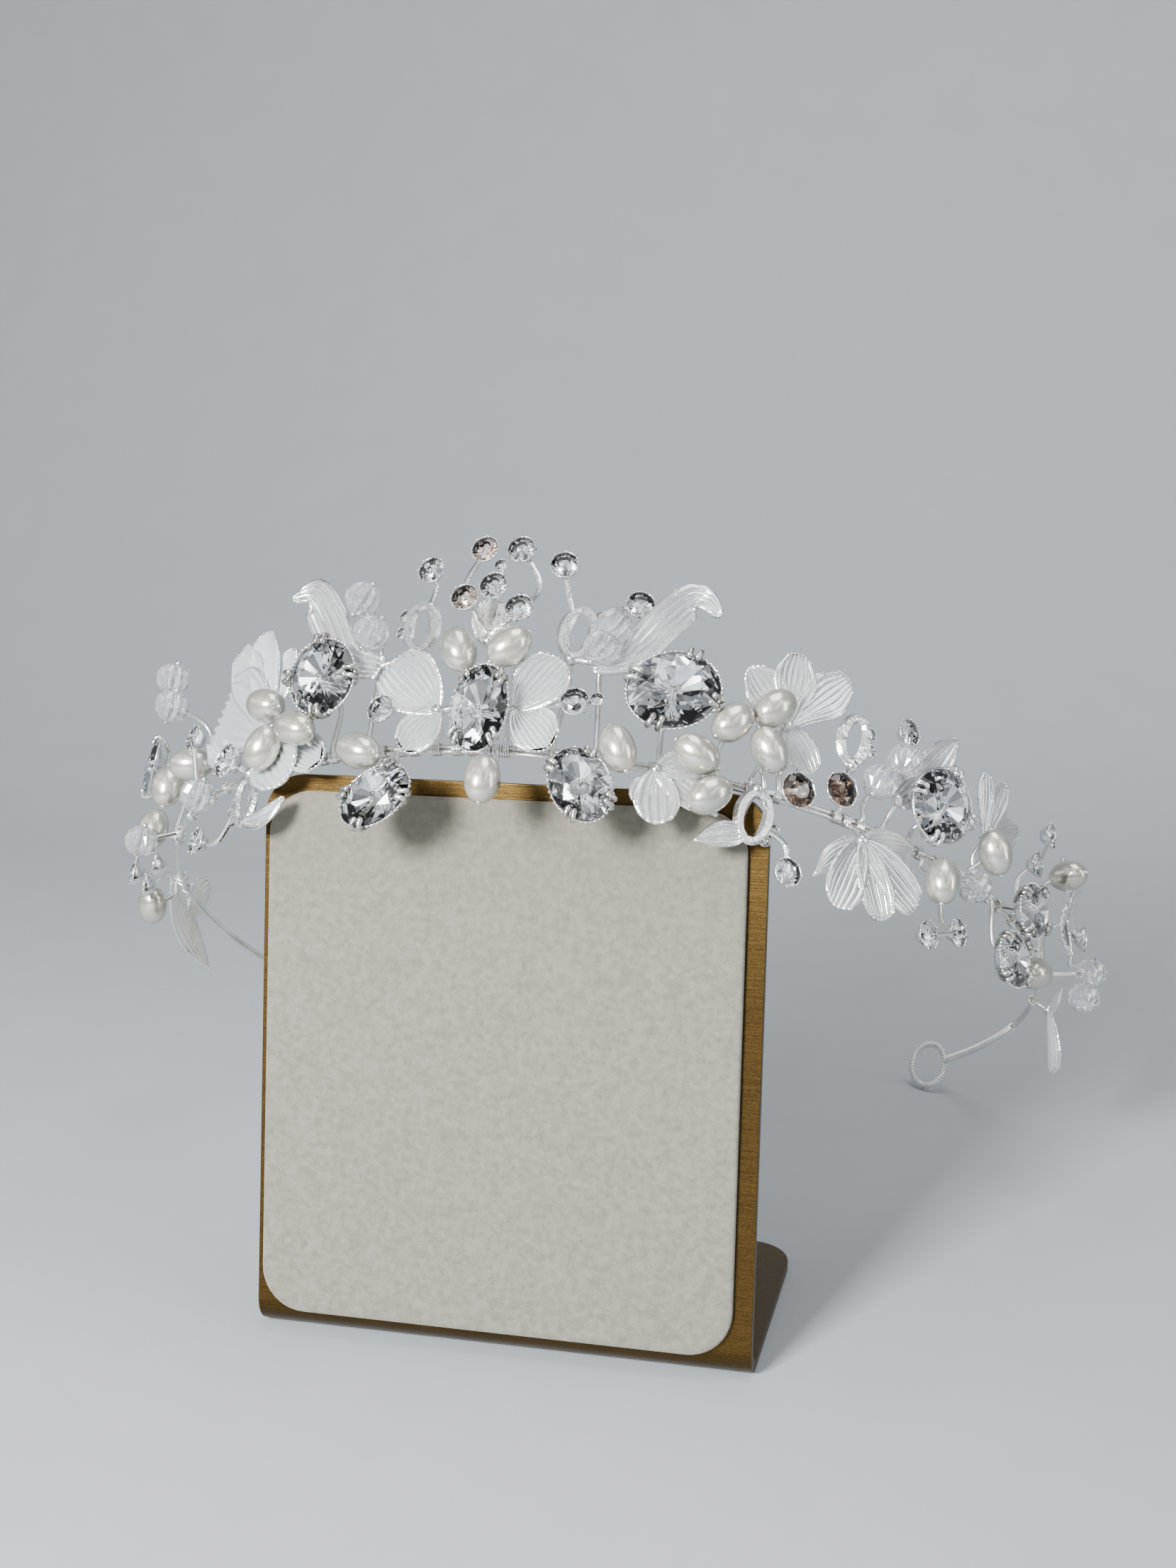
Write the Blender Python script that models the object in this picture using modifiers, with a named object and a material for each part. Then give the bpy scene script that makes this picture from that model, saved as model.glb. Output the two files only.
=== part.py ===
"""Bridal tiara of wired stones, pearls and cast petals, resting on a small display stand.

Units are metres, +Z is up and -Y is the front. The origin is the middle of the stand's foot,
on its underside. The head wire is a U in a plane that slopes down to the back: it lies on the
top edge of the stand's plate and its end loops come down to the ground.

An ornament's place is given on the head wire: along is the distance round the wire from its
middle, up stands square to the wire's plane, and out points away from the head. The tables hold
these as shares of REACH, CREST_HEIGHT and STONE_LIFT.
"""

import math
from collections import namedtuple

import bmesh
import bpy
import numpy as np
from mathutils import Matrix, Vector

# Clearance between separate pieces
GAP = 0.0003

# Display stand: one sheet bent into a leaning plate and a foot
STAND_WIDTH = 0.075
PLATE_HEIGHT = 0.0841
PLATE_LEAN = math.radians(7.55)
FOOT_DEPTH = 0.0447
SHEET = 0.0015
BEND_RADIUS = 0.0028
PLATE_CORNER = 0.006
FOOT_CORNER = 0.007

# Pad on the plate's front
PAD_THICKNESS = 0.001
PAD_MARGIN_LEFT = 0.001
PAD_MARGIN_RIGHT = 0.0028
PAD_MARGIN_TOP = 0.0023
PAD_MARGIN_BOTTOM = 0.0037
PAD_CORNER = 0.0066

# Head wire: an oval arc with a loop at each end
HEAD_WIRE = 0.0014
BAND_HALF_WIDTH = 0.076
BAND_HALF_DEPTH = 0.0895
BAND_END_ANGLE = math.radians(130)
BAND_OVERHANG = 0.0056
BAND_SHIFT = -0.0015
LOOP_HALF_LENGTH = 0.0038
LOOP_HALF_HEIGHT = 0.0043
LOOP_DROP = 0.0008
LOOP_TURN = math.radians(25)

# Field of ornaments on the head wire
REACH = 0.150
CREST_HEIGHT = 0.031
STONE_LIFT = 0.006

# Ornaments
PEARL_LENGTH = 0.0070
PEARL_WIDTH = 0.0051
BEAD = 0.0056
BIG_OVAL_LENGTH = 0.0140
BIG_OVAL_WIDTH = 0.0113
LONG_OVAL_LENGTH = 0.0136
LONG_OVAL_WIDTH = 0.0082
SMALL_OVAL_LENGTH = 0.0114
SMALL_OVAL_WIDTH = 0.0086
BIG_CUP = 0.0053
SMALL_CUP = 0.0042
PAVE_STONE = 0.0019
STEM_WIRE = 0.0008
STEM_LAYER = 0.0008
CAST_THICKNESS = 0.0008
RING_WIRE = 0.0012
RING_WIDTH = 0.0043
RING_HEIGHT = 0.0074
HUB = 0.0024

# Seams of a joined casting that are welded, and faces that count as flat
SEAM = 0.00001
FLAT_ANGLE = math.radians(2)

# How finely round things are divided
ROUND_SIDES = 10
ROUND_ROWS = 5
STONE_SIDES = 12
CUP_SIDES = 8
PAVE_SIDES = 6
BAND_POINTS = 45
LOOP_POINTS = 10
RING_POINTS = 10

Finish = namedtuple("Finish", "colour roughness metallic")
FINISHES = {
    "gold": Finish((0.42, 0.26, 0.07), 0.35, 1.0),
    "velour": Finish((0.72, 0.69, 0.63), 0.95, 0.0),
    "silver": Finish((0.86, 0.87, 0.88), 0.2, 1.0),
    "lacquer": Finish((0.90, 0.92, 0.94), 0.3, 0.4),
    "crystal": Finish((0.75, 0.78, 0.80), 0.05, 0.2),
    "pearl": Finish((0.90, 0.88, 0.82), 0.25, 0.0),
    "glass_bead": Finish((0.85, 0.89, 0.91), 0.1, 0.0),
}

Piece = namedtuple("Piece", "node kind along up out roll swing root")

# Ovals: roll turns the long side up from the wire's direction, swing turns the face
OVALS = [
    # node, kind, along, up, out, roll, swing, root
    Piece("oval_centre", "long_oval", -0.002, 0.11, 1.17, 90, 0, -0.002),
    Piece("oval_right_upper", "big_oval", 0.158, 0.30, 1.17, 30, 0, 0.158),
    Piece("oval_left_upper", "big_oval", -0.168, 0.33, 1.00, -43, 0, -0.168),
    Piece("oval_left_low", "small_oval", -0.090, -0.29, 0.83, 33, 0, -0.090),
    Piece("oval_right_low", "small_oval", 0.091, -0.19, 0.83, -62, 0, 0.091),
    Piece("oval_right", "big_oval", 0.444, 0.18, 1.00, 34, 0, 0.436),
    Piece("oval_left_far", "small_oval", -0.543, 0.36, 1.12, 20, 0, -0.543),
    Piece("oval_right_far", "small_oval", 0.620, -0.04, 1.00, 20, 0, 0.620),
    Piece("oval_right_end", "small_oval", 0.602, -0.32, 0.75, 10, 0, 0.592),
]

PEARLS = [
    # node, kind, along, up, out, roll, swing, root
    Piece("pearl_centre_left", "pearl", -0.031, 0.41, 1.00, 115, 0, -0.031),
    Piece("pearl_centre_right", "pearl", 0.014, 0.43, 1.00, 45, 0, 0.016),
    Piece("pearl_drop", "pearl", 0.009, -0.22, 1.00, 90, 0, 0.009),
    Piece("pearl_right_1", "pearl", 0.118, -0.01, 1.00, 115, 0, 0.118),
    Piece("pearl_right_2", "pearl", 0.185, 0.03, 1.00, -25, 0, 0.185),
    Piece("pearl_right_3", "pearl", 0.200, -0.15, 1.00, 40, 0, 0.200),
    Piece("pearl_right_4", "pearl", 0.213, 0.22, 1.00, 50, 0, 0.213),
    Piece("pearl_right_5", "pearl", 0.250, 0.34, 1.00, 45, 0, 0.262),
    Piece("pearl_right_6", "pearl", 0.249, 0.13, 1.00, -55, 0, 0.249),
    Piece("pearl_right_7", "pearl", 0.458, -0.17, 0.83, 90, 0, 0.458),
    Piece("pearl_right_8", "pearl", 0.530, 0.10, 1.00, -60, 0, 0.530),
    Piece("pearl_right_9", "pearl", 0.778, 0.45, 0.83, 0, 60, 0.778),
    Piece("pearl_right_10", "pearl", 0.670, -0.28, 0.67, 20, 0, 0.670),
    Piece("pearl_left_1", "pearl", -0.235, 0.24, 1.00, -14, 0, -0.222),
    Piece("pearl_left_2", "pearl", -0.182, 0.06, 1.15, -16, 0, -0.182),
    Piece("pearl_left_3", "pearl", -0.227, 0.01, 1.00, 69, 0, -0.238),
    Piece("pearl_left_4", "pearl", -0.110, -0.08, 1.00, -18, 0, -0.110),
    Piece("pearl_left_5", "pearl", -0.388, 0.14, 0.72, 10, 60, -0.384),
    Piece("pearl_left_6", "pearl", -0.452, 0.11, 0.83, 90, 0, -0.452),
    Piece("pearl_left_7", "pearl", -0.688, -0.19, 0.67, 40, 0, -0.688),
    Piece("pearl_left_8", "pearl", -0.548, 0.03, 0.74, 90, 0, -0.548),
]

# Beads share a stem where their nodes match
BEADS = [
    # node, kind, along, up, out, roll, swing, root
    Piece("beads_upper_left", "bead", -0.129, 0.56, 0.67, 60, 0, -0.125),
    Piece("beads_upper_left", "bead", -0.147, 0.75, 0.67, 60, 0, -0.125),
    Piece("beads_upper_right", "bead", 0.093, 0.49, 0.67, 60, 0, 0.100),
    Piece("beads_upper_right", "bead", 0.101, 0.60, 0.67, 60, 0, 0.100),
    Piece("beads_right", "bead", 0.374, 0.19, 0.67, 60, 0, 0.374),
    Piece("beads_right", "bead", 0.403, 0.35, 0.67, 60, 0, 0.374),
    Piece("beads_right", "small_cup", 0.412, 0.52, 0.50, 0, 0, 0.374),
    Piece("bead_right_side", "bead", 0.520, -0.08, 0.60, 60, 0, 0.518),
    Piece("beads_far_right", "bead", 0.853, 0.03, 1.45, 60, 0, 0.853),
    Piece("beads_far_right", "bead", 0.855, -0.11, 1.29, 60, 0, 0.853),
    Piece("beads_left_top", "bead", -0.430, 0.50, 1.30, 60, 0, -0.415),
    Piece("beads_left_top", "bead", -0.435, 0.66, 1.40, 60, 0, -0.415),
    Piece("bead_left", "bead", -0.345, -0.09, 0.75, 60, 0, -0.345),
    Piece("bead_left", "small_cup", -0.350, 0.20, 1.15, 0, 0, -0.357),
    Piece("bead_left_side", "bead", -0.520, -0.10, 1.00, 60, 0, -0.520),
    Piece("bead_left_side", "small_cup", -0.545, -0.24, 1.00, 0, 0, -0.520),
    Piece("cups_right_low", "small_cup", 0.495, -0.36, 0.67, 0, 0, 0.488),
    Piece("cups_right_low", "small_cup", 0.451, -0.44, 0.67, 0, 0, 0.488),
    Piece("cups_far_right", "small_cup", 0.660, 0.29, 0.67, 0, 0, 0.662),
    Piece("cups_far_right", "small_cup", 0.705, 0.54, 0.67, 0, 0, 0.662),
]

Casting = namedtuple("Casting", "node along up out root")

# Castings: the hub where the petals meet, and where its stem leaves the head wire
CASTINGS = [
    # node, along, up, out, root
    Casting("orchid", -0.049, 0.15, 0.50, -0.052),
    Casting("crest", -0.012, 0.50, 0.50, -0.016),
    Casting("scroll_upper_left", -0.080, 0.45, 0.45, -0.076),
    Casting("scroll_upper_right", 0.066, 0.44, 0.45, 0.060),
    Casting("scroll_left", -0.265, -0.05, 0.50, -0.265),
    Casting("scroll_right_low", 0.249, -0.03, 0.50, 0.249),
    Casting("scroll_right_high", 0.345, 0.23, 0.50, 0.345),
    Casting("flower_left", -0.247, 0.14, 0.45, -0.250),
    Casting("flower_right", 0.155, -0.04, 0.45, 0.155),
    Casting("flower_right_upper", 0.272, 0.33, 0.45, 0.277),
    Casting("leaf_right", 0.365, -0.11, 0.45, 0.357),
    Casting("leaf_ribbon_right", 0.405, 0.16, 0.45, 0.400),
    Casting("petals_right", 0.545, 0.20, 0.40, 0.550),
    Casting("flower_far_right", 0.815, 0.25, 0.70, 0.815),
    Casting("leaf_end_right", 0.955, -0.05, 0.45, 0.955),
    Casting("leaf_end_left", -0.730, 0.05, 0.50, -0.730),
]

# Half-widths of a petal from its root to its tip, as shares of its own half-width
OUTLINES = {
    "fan": (0.16, 0.72, 1.00, 0.80),
    "pointed": (0.20, 0.86, 0.88, 0.08),
    "spoon": (0.24, 0.56, 1.00, 0.62),
    "ribbon": (0.50, 0.80, 1.00, 0.85, 0.30),
}
FAN_COLUMNS = (-1.0, -0.42, 0.42, 1.0)
NARROW_COLUMNS = (-1.0, 0.0, 1.0)

Petal = namedtuple("Petal", "node outline width cup path")

# Petals and leaves: width is a share of the length, cup lifts the sides, path runs root to tip
PETALS = [
    # node, outline, width, cup, path of (along, up, out)
    Petal("orchid", "fan", 0.86, 0.30, ((-0.049, 0.15, 0.50), (-0.100, 0.38, 0.62))),
    Petal("orchid", "fan", 0.90, 0.30, ((-0.049, 0.15, 0.50), (-0.072, -0.05, 0.55))),
    Petal("orchid", "fan", 0.86, 0.30, ((0.024, 0.17, 0.50), (0.058, 0.40, 0.62))),
    Petal("orchid", "fan", 0.90, 0.30, ((0.024, 0.17, 0.50), (0.057, -0.01, 0.55))),
    Petal("crest", "fan", 0.80, 0.10, ((-0.012, 0.48, 0.45), (-0.012, 0.70, 0.55))),
    Petal("scroll_upper_left", "ribbon", 0.26, 0.20, (
        (-0.115, 0.38, 0.50), (-0.158, 0.46, 0.50), (-0.187, 0.67, 0.55),
        (-0.208, 0.82, 0.75), (-0.226, 0.80, 1.00))),
    Petal("scroll_upper_right", "ribbon", 0.22, 0.20, (
        (0.085, 0.42, 0.50), (0.118, 0.48, 0.50), (0.146, 0.68, 0.55),
        (0.172, 0.81, 0.75), (0.191, 0.72, 1.05))),
    Petal("scroll_left", "ribbon", 0.32, 0.20, (
        (-0.258, -0.30, 0.50), (-0.232, -0.31, 0.50), (-0.208, -0.22, 0.45))),
    Petal("scroll_right_low", "pointed", 0.45, 0.20, (
        (0.243, -0.26, 0.50), (0.222, -0.28, 0.52), (0.196, -0.34, 0.55))),
    Petal("flower_left", "fan", 1.05, 0.25, ((-0.247, 0.14, 0.50), (-0.336, 0.36, 0.60))),
    Petal("flower_left", "spoon", 0.40, 0.20, ((-0.247, 0.14, 0.50), (-0.318, 0.66, 0.70))),
    Petal("flower_left", "spoon", 0.40, 0.20, ((-0.247, 0.14, 0.50), (-0.278, 0.70, 0.70))),
    Petal("flower_left", "spoon", 0.34, 0.20, ((-0.247, 0.14, 0.50), (-0.236, 0.58, 0.50))),
    Petal("flower_left", "fan", 0.90, 0.25, ((-0.247, 0.14, 0.50), (-0.205, -0.14, 0.60))),
    Petal("flower_left", "fan", 0.45, 0.25, ((-0.247, 0.14, 0.50), (-0.166, -0.06, 0.50))),
    Petal("flower_right", "spoon", 0.55, 0.20, ((0.155, -0.04, 0.45), (0.139, -0.20, 0.50))),
    Petal("flower_right", "fan", 0.80, 0.25, ((0.155, -0.04, 0.45), (0.160, -0.29, 0.55))),
    Petal("flower_right", "pointed", 0.42, 0.25, ((0.155, -0.04, 0.45), (0.212, -0.20, 0.55))),
    Petal("flower_right", "fan", 0.60, 0.25, ((0.155, -0.04, 0.45), (0.202, 0.06, 0.55))),
    Petal("flower_right_upper", "spoon", 0.72, 0.25, ((0.272, 0.33, 0.45), (0.230, 0.54, 0.55))),
    Petal("flower_right_upper", "spoon", 0.62, 0.25, ((0.272, 0.33, 0.45), (0.274, 0.67, 0.60))),
    Petal("flower_right_upper", "spoon", 0.52, 0.25, ((0.272, 0.33, 0.45), (0.328, 0.63, 0.60))),
    Petal("flower_right_upper", "fan", 0.70, 0.25, ((0.272, 0.33, 0.45), (0.300, 0.13, 0.50))),
    Petal("leaf_right", "fan", 0.55, 0.25, ((0.365, -0.11, 0.45), (0.338, -0.46, 0.55))),
    Petal("leaf_right", "fan", 0.55, 0.25, ((0.365, -0.11, 0.45), (0.392, -0.45, 0.55))),
    Petal("leaf_right", "fan", 0.55, 0.25, ((0.365, -0.11, 0.45), (0.434, -0.33, 0.50))),
    Petal("leaf_right", "pointed", 0.40, 0.25, ((0.365, -0.11, 0.45), (0.436, -0.03, 0.35))),
    Petal("leaf_right", "pointed", 0.45, 0.20, ((0.365, -0.11, 0.45), (0.318, -0.34, 0.35))),
    Petal("leaf_ribbon_right", "ribbon", 0.36, 0.20, (
        (0.405, 0.16, 0.42), (0.444, 0.36, 0.42), (0.475, 0.60, 0.60))),
    Petal("petals_right", "spoon", 0.46, 0.20, ((0.545, 0.20, 0.45), (0.528, 0.52, 0.60))),
    Petal("petals_right", "spoon", 0.46, 0.20, ((0.545, 0.20, 0.45), (0.565, 0.54, 0.60))),
    Petal("petals_right", "spoon", 0.46, 0.20, ((0.545, 0.20, 0.45), (0.600, 0.36, 0.60))),
    Petal("flower_far_right", "fan", 0.85, 0.25, ((0.815, 0.25, 0.70), (0.880, 0.44, 0.90))),
    Petal("flower_far_right", "fan", 0.70, 0.25, ((0.815, 0.25, 0.70), (0.805, 0.00, 0.90))),
    Petal("flower_far_right", "fan", 0.85, 0.25, ((0.815, 0.25, 0.70), (0.750, 0.10, 0.80))),
    Petal("flower_far_right", "fan", 0.90, 0.25, ((0.815, 0.25, 0.70), (0.795, 0.58, 0.60))),
    Petal("leaf_end_right", "fan", 0.95, 0.25, ((0.955, -0.05, 0.45), (0.982, -0.36, 0.70))),
    Petal("leaf_end_right", "pointed", 0.45, 0.25, ((0.955, -0.05, 0.45), (0.915, 0.02, 0.70))),
    Petal("leaf_end_left", "pointed", 0.26, 0.25, (
        (-0.730, 0.05, 0.50), (-0.820, -0.04, 0.60), (-0.915, -0.22, 0.60))),
    Petal("leaf_end_left", "fan", 0.65, 0.25, ((-0.820, -0.02, 0.55), (-0.868, 0.24, 0.60))),
]

Ring = namedtuple("Ring", "node along up out roll")

# Open ribbon rings of the scrolls
RINGS = [
    # node, along, up, out, roll
    Ring("scroll_upper_left", -0.080, 0.58, 0.50, 8),
    Ring("scroll_upper_right", 0.070, 0.57, 0.50, -8),
    Ring("scroll_left", -0.265, -0.19, 0.50, 12),
    Ring("scroll_right_low", 0.249, -0.16, 0.50, -10),
    Ring("scroll_right_high", 0.345, 0.36, 0.50, -12),
]

Stud = namedtuple("Stud", "node kind along up out path")

# Small stones cast into a frame: on a short wire that starts at the path's first place, or
# against the ring where there is no path
STUDS = [
    # node, kind, along, up, out, path of (along, up, out)
    Stud("scroll_upper_left", "pave", -0.1000, 0.65, 0.50, ()),
    Stud("scroll_upper_left", "pave", -0.1005, 0.56, 0.50, ()),
    Stud("scroll_upper_left", "small_cup", -0.080, 0.88, 0.55, (
        (-0.076, 0.69, 0.50), (-0.073, 0.78, 0.45))),
    Stud("scroll_upper_right", "pave", 0.088, 0.66, 0.50, ()),
    Stud("scroll_upper_right", "small_cup", 0.048, 0.91, 0.55, (
        (0.062, 0.67, 0.50), (0.055, 0.78, 0.45))),
    Stud("scroll_upper_right", "small_cup", 0.122, 0.76, 0.45, (
        (0.080, 0.66, 0.48), (0.100, 0.73, 0.30))),
    Stud("scroll_left", "pave", -0.2770, -0.28, 0.50, ()),
    Stud("scroll_left", "pave", -0.2850, -0.22, 0.50, ()),
    Stud("scroll_left", "big_cup", -0.277, -0.01, 1.08, ((-0.265, -0.05, 0.50),)),
    Stud("scroll_left", "small_cup", -0.333, -0.34, 0.67, (
        (-0.278, -0.24, 0.50), (-0.305, -0.36, 0.45))),
    Stud("scroll_right_low", "pave", 0.261, -0.26, 0.50, ()),
    Stud("scroll_right_low", "pave", 0.269, -0.20, 0.50, ()),
    Stud("scroll_right_low", "big_cup", 0.280, -0.02, 1.00, ((0.252, -0.04, 0.50),)),
    Stud("scroll_right_low", "small_cup", 0.284, -0.39, 0.67, (
        (0.262, -0.21, 0.50), (0.281, -0.26, 0.55))),
    Stud("scroll_right_high", "pave", 0.364, 0.42, 0.50, ()),
    Stud("scroll_right_high", "pave", 0.366, 0.34, 0.50, ()),
    Stud("scroll_right_high", "big_cup", 0.323, 0.05, 1.00, (
        (0.345, 0.23, 0.50), (0.333, 0.15, 0.60))),
    Stud("orchid", "small_cup", -0.100, 0.14, 0.83, ((-0.060, 0.16, 0.50),)),
    Stud("orchid", "small_cup", 0.076, 0.21, 0.72, ((0.030, 0.18, 0.50),)),
    Stud("orchid", "pave", 0.095, 0.24, 0.66, ((0.070, 0.21, 0.62),)),
    Stud("crest", "small_cup", -0.029, 0.98, 0.55, (
        (-0.018, 0.56, 0.50), (-0.044, 0.78, 0.45))),
    Stud("crest", "small_cup", 0.006, 0.98, 0.55, (
        (-0.006, 0.56, 0.50), (0.028, 0.78, 0.45))),
    Stud("crest", "pave", -0.012, 0.90, 0.50, ((-0.012, 0.66, 0.50),)),
    Stud("crest", "small_cup", -0.037, 0.70, 0.80, ((-0.014, 0.54, 0.50),)),
    Stud("crest", "small_cup", -0.009, 0.74, 1.00, ((-0.012, 0.58, 0.50),)),
    Stud("crest", "small_cup", 0.016, 0.64, 0.90, ((-0.010, 0.54, 0.50),)),
    Stud("flower_far_right", "small_cup", 0.862, 0.24, 1.20, ((0.815, 0.25, 0.70),)),
    Stud("leaf_end_left", "small_cup", -0.714, 0.10, 1.00, ((-0.730, 0.05, 0.50),)),
    Stud("leaf_end_left", "small_cup", -0.646, -0.14, 0.80, (
        (-0.730, 0.05, 0.50), (-0.690, 0.02, 0.50))),
]

Section = namedtuple("Section", "radius height")

# Turned stones in their settings, from the table down to the setting's base
STONE_PROFILE = [
    Section(0.00, 0.26), Section(0.58, 0.26), Section(1.00, 0.00),
    Section(1.00, -0.12), Section(0.60, -0.46), Section(0.00, -0.46),
]
PAVE_PROFILE = [
    Section(0.00, 0.30), Section(0.50, 0.30), Section(1.00, 0.00),
    Section(0.60, -0.70), Section(0.00, -0.70),
]
CUP_PROFILE = [
    Section(0.00, 0.24), Section(0.50, 0.24), Section(1.00, -0.04),
    Section(0.40, -0.80), Section(0.00, -0.80),
]


def clear_scene():
    """Remove what is in the file already."""
    for old in list(bpy.data.objects):
        bpy.data.objects.remove(old)


def new_collection(name):
    """Add a collection under the scene's own."""
    collection = bpy.data.collections.new(name)
    bpy.context.scene.collection.children.link(collection)
    return collection


def finish_material(name):
    """Return the material of one named finish."""
    if name in bpy.data.materials:
        return bpy.data.materials[name]
    finish = FINISHES[name]
    material = bpy.data.materials.new(name)
    material.use_nodes = True
    shader = material.node_tree.nodes["Principled BSDF"]
    shader.inputs["Base Color"].default_value = (*finish.colour, 1.0)
    shader.inputs["Roughness"].default_value = finish.roughness
    shader.inputs["Metallic"].default_value = finish.metallic
    return material


def mesh_object(name, mesh, matrix=None):
    """Link a mesh as an object of the tiara's collection."""
    thing = bpy.data.objects.new(name, mesh)
    bpy.data.collections["tiara_on_stand"].objects.link(thing)
    if matrix is not None:
        thing.matrix_world = matrix
    return thing


def baked(thing, weld=0.00001):
    """Turn an object with modifiers, or a curve, into a plain mesh object in its place."""
    bpy.context.view_layer.update()
    evaluated = thing.evaluated_get(bpy.context.evaluated_depsgraph_get())
    mesh = bpy.data.meshes.new_from_object(evaluated)
    work = bmesh.new()
    work.from_mesh(mesh)
    bmesh.ops.remove_doubles(work, verts=work.verts, dist=weld)
    bmesh.ops.recalc_face_normals(work, faces=work.faces)
    work.to_mesh(mesh)
    work.free()
    result = mesh_object(thing.name + "_mesh", mesh, thing.matrix_world.copy())
    bpy.data.objects.remove(thing)
    return result


def wire(points, diameter, closed=False):
    """Round wire through a list of points."""
    curve = bpy.data.curves.new("wire", "CURVE")
    curve.dimensions = "3D"
    curve.bevel_depth = diameter / 2
    curve.bevel_resolution = 1
    curve.use_fill_caps = not closed
    spline = curve.splines.new("POLY")
    spline.points.add(len(points) - 1)
    for point, place in zip(spline.points, points):
        point.co = (*place, 1.0)
    spline.use_cyclic_u = closed
    thing = bpy.data.objects.new("wire", curve)
    bpy.data.collections["tiara_on_stand"].objects.link(thing)
    return baked(thing)


def turned(profile, steps, size, matrix):
    """Turned solid with flat facets, stretched to half-sizes along x, y and z."""
    work = bmesh.new()
    verts = [work.verts.new((row.radius, 0.0, row.height)) for row in profile]
    for upper, lower in zip(verts, verts[1:]):
        work.edges.new((upper, lower))
    mesh = bpy.data.meshes.new("turned")
    work.to_mesh(mesh)
    work.free()
    thing = mesh_object("turned", mesh)
    screw = thing.modifiers.new("Turn", "SCREW")
    screw.axis = "Z"
    screw.steps = steps
    screw.render_steps = steps
    screw.use_merge_vertices = True
    screw.merge_threshold = 0.00001
    screw.use_smooth_shade = False
    solid = baked(thing, weld=0.001)
    solid.data.transform(Matrix.Diagonal((*size, 1.0)))
    solid.matrix_world = matrix
    return solid


def band_axes(tilt):
    """Directions across the head wire's plane, down its slope and square to it."""
    across = Vector((1, 0, 0))
    slope = Vector((0, math.cos(tilt), -math.sin(tilt)))
    return across, slope, across.cross(slope)


def band_front(tilt):
    """Middle of the head wire, where the wire just clears the plate's top rear edge."""
    front_y = PLATE_HEIGHT * math.sin(PLATE_LEAN) - FOOT_DEPTH / 2
    rear_y = front_y + SHEET * math.cos(PLATE_LEAN)
    rear_z = PLATE_HEIGHT * math.cos(PLATE_LEAN) - SHEET * math.sin(PLATE_LEAN)
    y = front_y - BAND_OVERHANG
    rise = (rear_y - y) * math.tan(tilt) + (HEAD_WIRE / 2 + GAP) / math.cos(tilt)
    return Vector((BAND_SHIFT, y, rear_z + rise))


def band_frame(angle, tilt):
    """Place, direction, up and outward directions of the head wire at an angle round it."""
    across, slope, up = band_axes(tilt)
    x = BAND_HALF_WIDTH * math.sin(angle)
    depth = BAND_HALF_DEPTH * (1 - math.cos(angle))
    heading = Vector((BAND_HALF_WIDTH * math.cos(angle), BAND_HALF_DEPTH * math.sin(angle)))
    heading.normalize()
    tangent = across * heading.x + slope * heading.y
    outward = across * heading.y - slope * heading.x
    return band_front(tilt) + across * x + slope * depth, tangent, up, outward


def loop_axes(side, tilt):
    """Centre and in-plane directions of the end loop on one side."""
    end, tangent, up, outward = band_frame(side * BAND_END_ANGLE, tilt)
    onward = tangent * side * math.cos(LOOP_TURN) - outward * math.sin(LOOP_TURN)
    centre = end + onward * LOOP_HALF_LENGTH - up * LOOP_DROP
    return centre, onward, up


def loop_clearance(tilt):
    """Height of the end loops' lowest point above the ground."""
    centre, onward, up = loop_axes(1, tilt)
    reach = math.hypot(LOOP_HALF_LENGTH * onward.z, LOOP_HALF_HEIGHT * up.z)
    return centre.z - reach - HEAD_WIRE / 2 - GAP


def resting_tilt():
    """Slope at which the wire lies on the plate's edge and the loops on the ground."""
    low, high = math.radians(10), math.radians(60)
    for _ in range(50):
        middle = (low + high) / 2
        if loop_clearance(middle) > 0:
            low = middle
        else:
            high = middle
    return low


TILT = resting_tilt()
ANGLES = np.linspace(0, BAND_END_ANGLE, 2001)
SPEEDS = np.hypot(BAND_HALF_WIDTH * np.cos(ANGLES), BAND_HALF_DEPTH * np.sin(ANGLES))
LENGTHS = np.concatenate(([0], np.cumsum((SPEEDS[1:] + SPEEDS[:-1]) / 2 * np.diff(ANGLES))))


def frame_at(along):
    """Head wire's frame at a share of REACH from the middle."""
    distance = along * REACH
    angle = math.copysign(float(np.interp(abs(distance), LENGTHS, ANGLES)), distance)
    return band_frame(angle, TILT)


def spot(along, up, out):
    """World place of a share of REACH along, CREST_HEIGHT up and STONE_LIFT out."""
    place, _, upward, outward = frame_at(along)
    return place + upward * up * CREST_HEIGHT + outward * out * STONE_LIFT


def pose(along, up, out, roll=0, swing=0):
    """Matrix that sets a piece there: x along the wire, y up, z out, then roll and swing."""
    _, tangent, upward, outward = frame_at(along)
    axes = Matrix((tangent, upward, outward)).transposed().to_4x4()
    turn = Matrix.Rotation(math.radians(swing), 4, "Y") @ Matrix.Rotation(math.radians(roll), 4, "Z")
    return Matrix.Translation(spot(along, up, out)) @ axes @ turn


def stem_points(along, up, out, root):
    """Route of a wire: off the head wire, along it in the layer behind the stones, then out."""
    place, _, upward, outward = frame_at(root)
    start = HEAD_WIRE / 2 + GAP
    height = up * CREST_HEIGHT
    side = math.copysign(1, height)
    bend = 3 * STEM_WIRE
    if abs(height) < start + bend:
        lift = out * STONE_LIFT
        first = upward * height + outward * lift
        first = first.normalized() * start
        return [place + first, spot(along, up, out)]
    base = place + upward * side * start + outward * STEM_LAYER
    here, _, up_there, out_there = frame_at(along)
    turn = here + up_there * (height - side * bend) + out_there * STEM_LAYER
    return [base, turn, spot(along, up, out)]


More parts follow.
